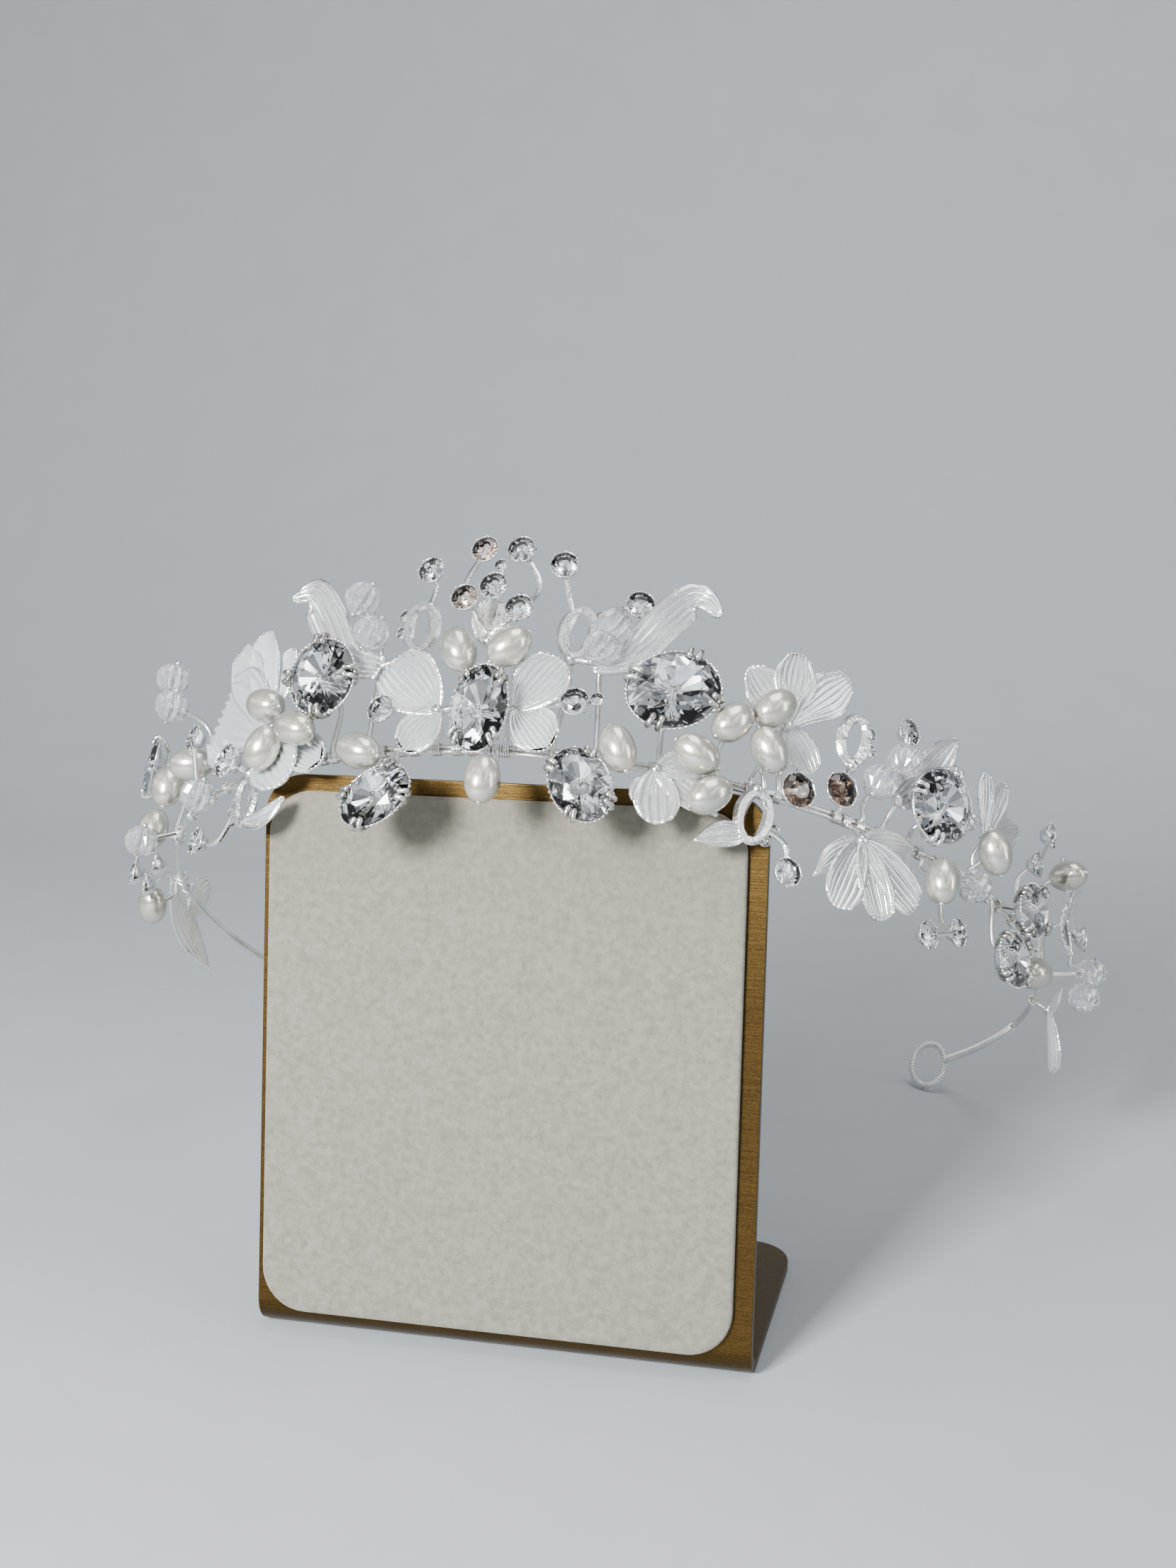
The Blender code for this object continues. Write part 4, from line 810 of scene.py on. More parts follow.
def smooth_share(travel, stops, shares):
    """Half-width at a share of the petal's length, eased between the outline's rows."""
    step = min(int(np.searchsorted(stops, travel, side="right")) - 1, len(shares) - 2)
    part = (travel - stops[step]) / (stops[step + 1] - stops[step])
    before = shares[max(step - 1, 0)]
    start, end = shares[step], shares[step + 1]
    after = shares[min(step + 2, len(shares) - 1)]
    value = (2 * start + (end - before) * part + (2 * before - 5 * start + 4 * end - after) * part ** 2
             + (3 * start - before - 3 * end + after) * part ** 3) / 2
    return max(value, 0.05)


def ribbed_petal(shape, row, look):
    """Petal or leaf with ribs, and a bright wire round its edge."""
    rows = petal_rows(row, look)
    shape.sheet(rows, CAST_THICKNESS * 0.55, look.face)
    edge = [line[0] for line in rows] + rows[-1][1:-1] + [line[-1] for line in reversed(rows)]
    shape.tube(edge, RIM_WIRE / 2, look.rim, sides=6)


def scroll_ring(shape, row):
    """Polished ribbon bent to an oval ring."""
    matrix = pose(row.along, row.up, row.out, row.roll)
    rows = []
    for step in range(40):
        angle = 2 * math.pi * step / 40
        outward = Vector((math.cos(angle) / RING_WIDTH, math.sin(angle) / RING_HEIGHT, 0)).normalized()
        local = Vector((RING_WIDTH / 2 * math.cos(angle), RING_HEIGHT / 2 * math.sin(angle), 0))
        broad = RING_WIRE * (0.55 + 0.30 * math.cos(angle) ** 2)
        row = []
        for side in range(6):
            turn = math.pi * side / 3
            arm = outward * broad * math.cos(turn) + Vector((0, 0, RING_WIRE * 0.5 * math.sin(turn)))
            row.append(matrix @ (local + arm))
        rows.append(row)
    shape.skin(rows, "polished", smooth=False, loop=True)


class Signal:
    """Number socket of a shader tree that can stand in an expression."""

    def __init__(self, finish, socket):
        self.finish = finish
        self.socket = socket

    def _with(self, operation, *values):
        return self.finish.number("ShaderNodeMath", {"operation": operation}, list(values), "Value")

    def __add__(self, other):
        return self._with("ADD", self, other)

    __radd__ = __add__

    def __mul__(self, other):
        return self._with("MULTIPLY", self, other)

    __rmul__ = __mul__


class Finish:
    """Procedural material, or the room's light, in the making."""

    def __init__(self, name, room=False):
        kinds = bpy.data.worlds if room else bpy.data.materials
        self.made = kinds.new(name)
        self.made.use_nodes = True
        self.tree = self.made.node_tree
        self.shader = self.tree.nodes["Background" if room else "Principled BSDF"]
        self.places = self.node("ShaderNodeTexCoord", {}, {}).outputs["Generated" if room else "Object"]

    def node(self, kind, settings, sockets):
        """Add a node: its settings first, then its sockets' values or links."""
        made = self.tree.nodes.new(kind)
        for name, value in settings.items():
            if name == "stops":
                fill_ramp(made.color_ramp, value)
            else:
                setattr(made, name, value)
        pairs = enumerate(sockets) if isinstance(sockets, list) else sockets.items()
        for name, value in pairs:
            self.feed(made.inputs[name], value)
        return made

    def feed(self, socket, value):
        """Set a socket, or link it where the value comes from another node."""
        if isinstance(value, Signal):
            value = value.socket
        if isinstance(value, bpy.types.NodeSocket):
            self.tree.links.new(value, socket)
        else:
            socket.default_value = value

    def number(self, kind, settings, sockets, output):
        """Node whose named output is a number for an expression."""
        return Signal(self, self.node(kind, settings, sockets).outputs[output])

    def noise(self, scale, detail=3.0, roughness=0.55, stretch=None):
        """Noise over the piece, with as many features a metre as the scale says."""
        places = self.places
        if stretch is not None:
            stretched = self.node("ShaderNodeMapping", {}, {"Vector": places, "Scale": stretch})
            places = stretched.outputs["Vector"]
        sockets = {"Vector": places, "Scale": scale, "Detail": detail, "Roughness": roughness}
        return self.number("ShaderNodeTexNoise", {}, sockets, "Fac")

    def cells(self, scale, output="Distance"):
        """Cells over the piece."""
        sockets = {"Vector": self.places, "Scale": scale}
        return self.node("ShaderNodeTexVoronoi", {}, sockets).outputs[output]

    def ramp(self, value, stops):
        """Colours along a number."""
        return self.node("ShaderNodeValToRGB", {"stops": stops}, {"Fac": value}).outputs["Color"]

    def blend(self, share, first, second):
        """Mix of two colours."""
        made = self.node("ShaderNodeMix", {"data_type": "RGBA"}, {})
        self.feed(made.inputs[0], share)
        self.feed(made.inputs[6], first)
        self.feed(made.inputs[7], second)
        return made.outputs[2]

    def bumped(self, height, strength, distance):
        """Let a height raise the surface."""
        sockets = {"Height": height, "Strength": strength, "Distance": distance}
        normal = self.node("ShaderNodeBump", {}, sockets).outputs["Normal"]
        self.feed(self.shader.inputs["Normal"], normal)

    def surface(self, **values):
        """Set the shader's own sockets by name, with underscores for spaces."""
        for name, value in values.items():
            self.feed(self.shader.inputs[name.replace("_", " ")], value)
        return self.made


def fill_ramp(ramp, stops):
    """Lay a ramp's stops of place and colour."""
    while len(ramp.elements) < len(stops):
        ramp.elements.new(0.5)
    for element, (place, colour) in zip(ramp.elements, stops):
        element.position = place
        element.color = (*colour, 1.0)


def toned(colour, shares):
    """The given share of each channel of a colour."""
    return tuple(channel * share for channel, share in zip(colour, shares))


FINISH_MAKERS = {}


def kept(maker):
    """List a finish by its name, to be made once and handed out again after that."""
    name = maker.__name__

    def fetch():
        return bpy.data.materials.get(name) or maker(name)
    FINISH_MAKERS[name] = fetch
    return fetch


@kept
def polished(name):
    """Polished rhodium over cast metal, with faint waves and handling marks."""
    finish = Finish(name)
    waves = finish.noise(700, 3.0)
    marks = finish.noise(2600, 2.0)
    finish.bumped(waves * 0.7 + marks * 0.3, 0.7, 0.0003)
    colour = finish.ramp(waves, ((0.3, (0.80, 0.80, 0.79)), (0.7, (0.93, 0.93, 0.94))))
    return finish.surface(Base_Color=colour, Metallic=1.0, Roughness=0.10 + marks * 0.14)


@kept
def bright_wire(name):
    """Thin drawn wire of the stems and coils."""
    finish = Finish(name)
    grain = finish.noise(4200, 2.0)
    tone = finish.noise(260, 2.0)
    colour = finish.ramp(tone, ((0.3, (0.78, 0.76, 0.72)), (0.7, (0.92, 0.92, 0.92))))
    finish.bumped(grain, 0.25, 0.0001)
    return finish.surface(Base_Color=colour, Metallic=1.0, Roughness=0.16 + grain * 0.12)


@kept
def head_wire(name):
    """Two plated strands of the head wire, darker where they have been handled."""
    finish = Finish(name)
    grain = finish.noise(3500, 2.0)
    tone = finish.noise(120, 3.0)
    colour = finish.ramp(tone, ((0.3, (0.66, 0.64, 0.60)), (0.65, (0.90, 0.89, 0.87))))
    finish.bumped(grain, 0.3, 0.0001)
    return finish.surface(Base_Color=colour, Metallic=1.0, Roughness=0.18 + grain * 0.16)


@kept
def wrapped_wire(name):
    """Whitish fine wire wound over the ends of the head wire."""
    finish = Finish(name)
    grain = finish.noise(3000, 2.0)
    colour = finish.ramp(grain, ((0.3, (0.80, 0.80, 0.79)), (0.7, (0.95, 0.95, 0.95))))
    finish.bumped(grain, 0.2, 0.0001)
    return finish.surface(Base_Color=colour, Metallic=0.75, Roughness=0.26 + grain * 0.12)


@kept
def dark_claw(name):
    """Claws gone dark in their corners."""
    finish = Finish(name)
    tone = finish.noise(900, 3.0)
    colour = finish.ramp(tone, ((0.35, (0.22, 0.20, 0.18)), (0.6, (0.74, 0.73, 0.71))))
    finish.bumped(tone, 0.3, 0.0001)
    return finish.surface(Base_Color=colour, Metallic=1.0, Roughness=0.18 + tone * 0.2)


def petal_finish(name, deep, pale, metal, rough, glitter, clear):
    """Lacquered petal: pearly ground, fine speckle and a clear coat."""
    finish = Finish(name)
    cloud = finish.noise(160, 3.0)
    speckle = finish.cells(5200, output="Color")
    shade = finish.node("ShaderNodeSeparateColor", {}, {"Color": speckle}).outputs["Red"]
    sparkle = Signal(finish, shade)
    ground = finish.ramp(cloud, ((0.3, deep), (0.7, pale)))
    colour = finish.blend(sparkle * glitter, ground, (1.0, 1.0, 1.0, 1.0))
    fine = finish.noise(2400, 2.0)
    finish.bumped(fine * 0.5 + sparkle * glitter, 0.5, 0.00012)
    return finish.surface(Base_Color=colour, Metallic=metal, Roughness=rough + cloud * 0.12,
                          Transmission_Weight=clear, IOR=1.48, Coat_Weight=0.7, Coat_Roughness=0.04)


@kept
def moon_petal(name):
    """White-silver translucent lacquer of the orchid and the flowers."""
    return petal_finish(name, (0.86, 0.88, 0.90), (1.0, 1.0, 1.0), 0.35, 0.05, 0.25, 0.75)


@kept
def ice_petal(name):
    """Ice-blue white lacquer of the large ribbed petals."""
    return petal_finish(name, (0.84, 0.90, 0.94), (0.98, 1.0, 1.0), 0.35, 0.05, 0.25, 0.55)


@kept
def satin_leaf(name):
    """Ribbed satin silver of the leaves and scrolls."""
    return petal_finish(name, (0.80, 0.81, 0.82), (1.0, 1.0, 1.0), 0.6, 0.08, 0.20, 0.7)


@kept
def warm_leaf(name):
    """Leaf with gold and white sparkles."""
    return petal_finish(name, (0.74, 0.62, 0.44), (1.0, 0.98, 0.94), 0.6, 0.08, 0.7, 0.3)


@kept
def glitter_fan(name):
    """Glitter set into the crest's fan."""
    return petal_finish(name, (0.50, 0.46, 0.42), (0.95, 0.92, 0.90), 0.9, 0.12, 0.95, 0.0)


@kept
def petal_rim(name):
    """Bright raised edge of a petal."""
    finish = Finish(name)
    beads = finish.cells(2100)
    tone = finish.noise(400, 2.0)
    finish.bumped(beads, 0.6, 0.00015)
    colour = finish.ramp(tone, ((0.3, (0.82, 0.83, 0.84)), (0.7, (0.98, 0.98, 0.98))))
    return finish.surface(Base_Color=colour, Metallic=0.9, Roughness=0.12 + tone * 0.1)


def stone_finish(name, tint, rough):
    """Clear cut crystal, with the faintest wear on its facets."""
    finish = Finish(name)
    wear = finish.noise(1500, 3.0)
    colour = finish.blend(wear, (*tint, 1.0), (1.0, 1.0, 1.0, 1.0))
    finish.bumped(wear, 0.02, 0.00005)
    return finish.surface(Base_Color=colour, Roughness=rough + wear * 0.01, Transmission_Weight=1.0, IOR=1.56)


@kept
def clear_stone(name):
    """Clear crystal."""
    return stone_finish(name, (0.97, 0.98, 1.0), 0.0)


@kept
def smoky_stone(name):
    """Smoky brown crystal."""
    return stone_finish(name, (0.42, 0.33, 0.26), 0.0)


def foil_finish(name, first, second):
    """Foil behind a stone, whose tone changes from facet to facet."""
    finish = Finish(name)
    patches = finish.cells(380, output="Color")
    share = finish.node("ShaderNodeSeparateColor", {}, {"Color": patches}).outputs["Green"]
    colour = finish.blend(share, (*first, 1.0), (*second, 1.0))
    scratches = finish.noise(1800, 2.0)
    return finish.surface(Base_Color=colour, Metallic=1.0, Roughness=0.02 + scratches * 0.05)


@kept
def silver_foil(name):
    """Silver foil."""
    return foil_finish(name, (0.85, 0.86, 0.88), (1.0, 1.0, 1.0))


@kept
def dark_foil(name):
    """Foil that has lost its shine in places, so that facets go black."""
    return foil_finish(name, (0.72, 0.73, 0.75), (1.0, 1.0, 1.0))


@kept
def rainbow_foil(name):
    """Foil with a pink and yellow bloom."""
    return foil_finish(name, (1.0, 0.80, 0.80), (0.98, 0.96, 0.78))


@kept
def smoky_foil(name):
    """Brown-black foil."""
    return foil_finish(name, (0.10, 0.07, 0.05), (0.55, 0.44, 0.36))


@kept
def nacre(name):
    """Ivory rice pearl: rings of growth, a greenish-grey shade and a bright skin."""
    finish = Finish(name)
    growth = finish.noise(420, 4.0, 0.6)
    bloom = finish.noise(90, 2.0)
    ivory = tuple(bpy.context.scene.tiara_colours.pearl_ivory)
    grey = toned(ivory, (0.80, 0.81, 0.77))
    green = toned(ivory, (0.75, 0.81, 0.80))
    ground = finish.ramp(bloom, ((0.3, grey), (0.5, ivory), (0.7, green)))
    colour = finish.blend(growth * 0.25, ground, (0.68, 0.63, 0.58, 1.0))
    finish.bumped(growth, 0.35, 0.00015)
    return finish.surface(Base_Color=colour, Metallic=0.75, Roughness=0.16 + growth * 0.12,
                          Coat_Weight=1.0, Coat_Roughness=0.04, Specular_Tint=(0.35, 0.37, 0.30, 1.0))


@kept
def clear_bead(name):
    """Pressed glass of the ribbed beads, with faint clouds inside."""
    finish = Finish(name)
    cloud = finish.noise(500, 3.0)
    colour = finish.ramp(cloud, ((0.3, (0.90, 0.94, 0.96)), (0.7, (1.0, 1.0, 1.0))))
    finish.bumped(cloud, 0.2, 0.0001)
    return finish.surface(Base_Color=colour, Roughness=0.01 + cloud * 0.05,
                          Transmission_Weight=0.9, IOR=1.60, Coat_Weight=1.0, Coat_Roughness=0.02)


@kept
def brushed_gold(name):
    """Ochre gold paint over brushed steel, with fine grain along the plate."""
    finish = Finish(name)
    grain = finish.noise(5200, 2.0, 0.6, (0.03, 1.0, 1.0))
    fine = finish.noise(4200, 2.0)
    cloud = finish.noise(30, 2.0)
    tone = grain * 0.3 + fine * 0.5 + cloud * 0.2
    gold = tuple(bpy.context.scene.tiara_colours.stand_gold)
    colour = finish.ramp(tone, ((0.35, toned(gold, (0.36, 0.32, 0.23))), (0.65, gold)))
    finish.bumped(grain * 0.6 + fine * 0.4, 0.25, 0.0001)
    return finish.surface(Base_Color=colour, Metallic=0.9, Roughness=0.30 + grain * 0.16)


@kept
def cream_velour(name):
    """Short cream nap, rubbed and a little grubby towards the top."""
    finish = Finish(name)
    nap = finish.noise(5200, 3.0, 0.7)
    tufts = finish.noise(900, 3.0)
    rub = finish.noise(45, 3.0)
    height = finish.number("ShaderNodeSeparateXYZ", {}, {"Vector": finish.places}, "Z")
    upper = {"Value": height, "From Min": 0.060, "From Max": 0.084}
    grub = finish.number("ShaderNodeMapRange", {}, upper, "Result")
    cream = tuple(bpy.context.scene.tiara_colours.pad_cream)
    ground = finish.ramp(tufts * 0.6 + nap * 0.4, ((0.38, toned(cream, (0.68, 0.67, 0.65))), (0.62, cream)))
    colour = finish.blend(grub * rub * 0.7, ground, (*toned(cream, (0.72, 0.67, 0.62)), 1.0))
    finish.bumped(nap * 0.6 + tufts * 0.4, 0.6, 0.0003)
    return finish.surface(Base_Color=colour, Roughness=0.95, Sheen_Weight=0.3, Sheen_Roughness=0.5)


@kept
def pale_floor(name):
    """Plain pale floor that sweeps up behind."""
    finish = Finish(name)
    grain = finish.noise(60, 2.0)
    colour = finish.ramp(grain, ((0.3, (0.30, 0.325, 0.345)), (0.7, (0.31, 0.335, 0.355))))
    return finish.surface(Base_Color=colour, Roughness=0.7)


StoneLook = namedtuple("StoneLook", "stone foil metal claw rim")
CLEAR = StoneLook("clear_stone", "silver_foil", "polished", "dark_claw", "wire")
DARK = StoneLook("clear_stone", "dark_foil", "polished", "dark_claw", "beaded")
DARK_WIRED = StoneLook("clear_stone", "dark_foil", "polished", "polished", "wire")
RAINBOW = StoneLook("clear_stone", "rainbow_foil", "polished", "polished", "wire")
SMOKY = StoneLook("smoky_stone", "smoky_foil", "polished", "polished", "wire")
OVAL_LOOKS = {"oval_right": DARK_WIRED, "oval_left_far": DARK_WIRED}

# Looks of the castings' petals: finishes, how many ribs, how deep, and the scallops' share
PETAL_LOOKS = {
    "orchid": PetalLook("moon_petal", "petal_rim", 9, 0.00020, 0.09),
    "crest": PetalLook("glitter_fan", "petal_rim", 7, 0.00015, 0.10),
    "scroll_upper_left": PetalLook("satin_leaf", "polished", 5, 0.00018, 0.0),
    "scroll_upper_right": PetalLook("satin_leaf", "polished", 5, 0.00018, 0.0),
    "scroll_left": PetalLook("satin_leaf", "polished", 3, 0.00015, 0.0),
    "scroll_right_low": PetalLook("satin_leaf", "polished", 3, 0.00015, 0.0),
    "flower_left": PetalLook("ice_petal", "petal_rim", 9, 0.00022, 0.09),
    "flower_right": PetalLook("moon_petal", "petal_rim", 5, 0.00018, 0.08),
    "flower_right_upper": PetalLook("moon_petal", "petal_rim", 7, 0.00020, 0.09),
    "leaf_right": PetalLook("satin_leaf", "petal_rim", 7, 0.00020, 0.07),
    "leaf_ribbon_right": PetalLook("satin_leaf", "polished", 5, 0.00015, 0.0),
    "petals_right": PetalLook("moon_petal", "petal_rim", 5, 0.00018, 0.08),
    "flower_far_right": PetalLook("moon_petal", "petal_rim", 7, 0.00018, 0.08),
    "leaf_end_right": PetalLook("ice_petal", "petal_rim", 7, 0.00020, 0.08),
    "leaf_end_left": PetalLook("warm_leaf", "petal_rim", 7, 0.00014, 0.04),
}

# Stones of the crest and the scrolls with a look of their own, by node and place among its studs
STUD_LOOKS = {
    ("crest", 0): RAINBOW,
    ("crest", 3): RAINBOW,
    ("scroll_right_low", 2): SMOKY,
    ("scroll_right_high", 2): SMOKY,
    ("scroll_left", 2): DARK_WIRED,
}


def wound(shape, points, radius, wire_width, pitch, finish):
    """Fine wire wound closely round a route."""
    centres = np.asarray([tuple(point) for point in points], float)
    side, lift = turned_frames(centres, False)
    gaps = np.linalg.norm(np.diff(centres, axis=0), axis=1)
    travelled = np.concatenate(([0.0], np.cumsum(gaps)))
    turns = travelled[-1] / pitch
    stops = np.linspace(0, travelled[-1], int(turns * 9))
    angle = 2 * math.pi * stops / pitch

    def along(values):
        return np.stack([np.interp(stops, travelled, values[:, axis]) for axis in range(3)], axis=1)
    arm = along(side) * np.cos(angle)[:, None] + along(lift) * np.sin(angle)[:, None]
    shape.tube(along(centres) + arm * radius, wire_width / 2, finish, sides=5)


def band_route(first, last, count):
    """Places and up directions along the head wire, as shares of its half length."""
    route = []
    for share in np.linspace(first, last, count):
        place, _, upward, _ = frame_at(share * float(LENGTHS[-1]) / REACH)
        route.append((place, upward))
    return route


def loop_route(side):
    """Places round the end loop of one side, from where it leaves the head wire."""
    centre, onward, up = loop_axes(side, TILT)
    first_turn = math.radians(200)
    sweep = math.radians(336)
    route = []
    for step in range(31):
        angle = first_turn + sweep * step / 30
        across = onward * LOOP_HALF_LENGTH * math.cos(angle)
        route.append(centre + across + up * LOOP_HALF_HEIGHT * math.sin(angle))
    return route


def make_head_wire(sizes):
    """Two strands side by side, wound over at their ends and turned to loops."""
    shape = Shape()
    route = band_route(-1.0, 1.0, 241)
    for offset in (-STRAND_APART, STRAND_APART):
        shape.tube([place + upward * offset for place, upward in route], STRAND / 2, "head_wire", sides=10)
    for side in (-1, 1):
        arm = [place for place, _ in band_route(side * WRAP_FROM, side, 40)]
        end = loop_route(side)
        radius = HEAD_WIRE / 2 - WRAP_WIRE / 2
        shape.tube(end, radius * 0.75, "head_wire", sides=8)
        wound(shape, arm + end[1:], radius + WRAP_WIRE * 0.15, WRAP_WIRE, sizes.wrap_pitch, "wrapped_wire")
    return shape.made("head_wire", "silver", ["headband"])


def stand_outline(bend_steps=16, corner_steps=10):
    """Places along the sheet from the plate's top to the foot's end, with half-widths."""
    bend = math.pi / 2 + PLATE_LEAN
    middle = BEND_RADIUS + SHEET / 2
    front = Vector((0, -FOOT_DEPTH / 2, 0))
    down = Vector((0, -math.sin(PLATE_LEAN), -math.cos(PLATE_LEAN)))
    into = Vector((0, math.cos(PLATE_LEAN), -math.sin(PLATE_LEAN)))
    back = Vector((0, 1, 0))
    top = front - down * PLATE_HEIGHT + into * SHEET / 2
    corner = top + down * (top.z - SHEET / 2) / math.cos(PLATE_LEAN)
    start = corner - down * middle * math.tan(bend / 2)
    foot_end = Vector((0, FOOT_DEPTH / 2, SHEET / 2))
    turns = [math.pi / 2 * step / corner_steps for step in range(corner_steps + 1)]
    stops = []
    for turn in turns:
        inset = PLATE_CORNER * (1 - math.sin(turn))
        stops.append((top + down * PLATE_CORNER * (1 - math.cos(turn)), STAND_WIDTH / 2 - inset))
    for step in range(bend_steps + 1):
        angle = bend * step / bend_steps
        arm = -into * math.cos(angle) * middle + down * math.sin(angle) * middle
        stops.append((start + into * middle + arm, STAND_WIDTH / 2))
    for turn in reversed(turns):
        inset = FOOT_CORNER * (1 - math.sin(turn))
        stops.append((foot_end - back * FOOT_CORNER * (1 - math.cos(turn)), STAND_WIDTH / 2 - inset))
    return stops


def make_stand(sizes):
    """Leaning plate and foot, bent from one sheet with eased edges."""
    work = bmesh.new()
    rows = []
    for place, half in stand_outline():
        rows.append([work.verts.new(place + Vector((share * half, 0, 0))) for share in (-1, 1)])
    for upper, lower in zip(rows, rows[1:]):
        work.faces.new((upper[0], upper[1], lower[1], lower[0]))
    mesh = bpy.data.meshes.new("gold_stand")
    work.to_mesh(mesh)
    work.free()
    mesh.materials.append(brushed_gold())
    stand = bpy.data.objects.new("gold_stand", mesh)
    bpy.context.scene.collection.objects.link(stand)
    shell = stand.modifiers.new("Thickness", "SOLIDIFY")
    shell.thickness = SHEET
    shell.offset = 0.0
    shell.use_even_offset = True
    edge = stand.modifiers.new("Edge", "BEVEL")
    edge.width = sizes.edge_rounding
    edge.segments = 3
    edge.limit_method = "ANGLE"
    edge.angle_limit = math.radians(50)
    mesh.shade_smooth()
    sharp = stand.modifiers.new("Normals", "WEIGHTED_NORMAL")
    sharp.keep_sharp = True
    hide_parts("display_stand")
    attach(stand, "root")
    return stand


def pad_outline(inset):
    """Places round the pad's outline, drawn in by an inset."""
    left = -STAND_WIDTH / 2 + PAD_MARGIN_LEFT + inset
    right = STAND_WIDTH / 2 - PAD_MARGIN_RIGHT - inset
    bottom = PAD_MARGIN_BOTTOM + inset
    top = PLATE_HEIGHT - PAD_MARGIN_TOP - inset
    radius = PAD_CORNER - inset
    points = []
    for x, y, first in ((right, top, 0), (left, top, 90), (left, bottom, 180), (right, bottom, 270)):
        centre_x = x - math.copysign(radius, x)
        centre_y = y - radius if y == top else y + radius
        for step in range(11):
            angle = math.radians(first + 9 * step)
            across = centre_x + radius * math.cos(angle)
            points.append(Vector((across, centre_y + radius * math.sin(angle), 0)))
    return points


def make_pad():
    """Thin cream pad with soft edges on the plate's front."""
    lean = Matrix.Translation((0, -FOOT_DEPTH / 2, 0)) @ Matrix.Rotation(math.pi / 2 - PLATE_LEAN, 4, "X")
    steps = ((0.0, 0.0), (0.0, 0.55), (0.12, 0.82), (0.40, 0.97), (1.0, 1.0), (3.0, 1.0))
    rows = []
    for inset, height in steps:
        lift = Vector((0, 0, GAP + PAD_THICKNESS * height))
        rows.append([lean @ (point + lift) for point in pad_outline(inset * PAD_THICKNESS)])
    shape = Shape()
    shape.skin(rows, "cream_velour")
    pad = shape.made("cream_pad", "velour", ["display_pad"])
    return pad


def make_ovals():
    """Large oval stones on their stems."""
    for piece in OVALS:
        shape = Shape()
        set_oval(shape, piece, OVAL_LOOKS.get(piece.node, DARK))
        stem(shape, piece)
        shape.made(piece.node + "_stone", "crystal", [piece.node])


def make_pearls():
    """Rice pearls on their stems."""
    for piece in PEARLS:
        shape = Shape()
        rice_pearl(shape, pose(*piece[2:7]))
        stem(shape, piece)
        shape.made(piece.node + "_drop", "pearl", [piece.node])


def make_beads():
    """Ribbed clear beads and small cups that share a stem."""
    for node in dict.fromkeys(piece.node for piece in BEADS):
        group = [piece for piece in BEADS if piece.node == node]
        shape = Shape()
        for piece in group:
            matrix = pose(*piece[2:7])
            if piece.kind == "bead":
                melon_bead(shape, matrix)
            else:
                set_cup(shape, piece.kind, matrix, CLEAR)
        lead = group[0]
        stem(shape, lead)
        links = [spot(piece.along, piece.up, piece.out) for piece in group]
        if len(links) > 1:
            shape.tube(spline(links, 6), STEM_WIRE / 2, "bright_wire")
        slot = "glass_bead" if lead.kind == "bead" else "crystal"
        shape.made(node + "_string", slot, [node])


def rows_of(table, node):
    """Rows of a table that belong to one node."""
    return [row for row in table if row.node == node]


def make_castings(nodes, slot):
    """Castings: hub, petals, ring, small stones and stem."""
    for row in CASTINGS:
        if row.node not in nodes:
            continue
        shape = Shape()
        centre = spot(row.along, row.up, row.out)
        shape.ball(Matrix.Translation(centre), HUB_BALL, "polished", sides=10)
        stem(shape, row)
        for item in rows_of(PETALS, row.node):
            ribbed_petal(shape, item, PETAL_LOOKS[row.node])
        for item in rows_of(RINGS, row.node):
            scroll_ring(shape, item)
        for index, item in enumerate(rows_of(STUDS, row.node)):
            matrix = pose(item.along, item.up, item.out)
            set_cup(shape, item.kind, matrix, STUD_LOOKS.get((row.node, index), CLEAR))
            if item.path:
                back = matrix.translation - matrix.col[2].xyz * STUD_BACK
                points = [spot(*step) for step in item.path] + [back]
                shape.tube(spline(points, 8), STEM_WIRE / 2, "polished", sides=6, smooth=False)
        for item in rows_of(BRIDGES, row.node):
            points = [spot(*step) for step in item.path]
            shape.tube(spline(points, 6), STEM_WIRE * 0.6, "polished")
        shape.made(row.node + "_cast", slot, [row.node])


SCROLLS = tuple(row.node for row in RINGS)
FLOWERS = (
    "orchid", "flower_left", "flower_right", "flower_right_upper", "flower_far_right", "petals_right")
LEAVES = ("leaf_right", "leaf_ribbon_right", "leaf_end_right", "leaf_end_left")


def stage_floor(wall):
    """Floor that sweeps up to a backdrop in one curve."""
    profile = [(-FLOOR_REACH, 0.0)]
    for step in range(25):
        angle = math.pi / 2 * step / 24
        ahead = FLOOR_BEND * math.sin(angle)
        rise = FLOOR_BEND - FLOOR_BEND * math.cos(angle)
        profile.append((wall - FLOOR_BEND + ahead, rise))
    profile.append((wall, FLOOR_REACH))
    points = [(x, y, z) for y, z in profile for x in (-FLOOR_REACH, FLOOR_REACH)]
    faces = [(row, row + 1, row + 3, row + 2) for row in range(0, len(points) - 2, 2)]
    mesh = bpy.data.meshes.new("floor")
    mesh.from_pydata(points, [], faces)
    mesh.materials.append(pale_floor())
    mesh.shade_smooth()
    floor = bpy.data.objects.new("floor", mesh)
    bpy.context.scene.collection.objects.link(floor)


def softbox(name, place, size, power):
    """Soft rectangular light that faces the tiara."""
    lamp = bpy.data.lights.new(name, "AREA")
    lamp.shape = "RECTANGLE"
    lamp.size = size[0]
    lamp.size_y = size[1]
    lamp.energy = power
    holder = bpy.data.objects.new(name, lamp)
    holder.location = place
    holder.rotation_euler = (LIGHT_AIM - Vector(place)).to_track_quat("-Z", "Y").to_euler()
    bpy.context.scene.collection.objects.link(holder)


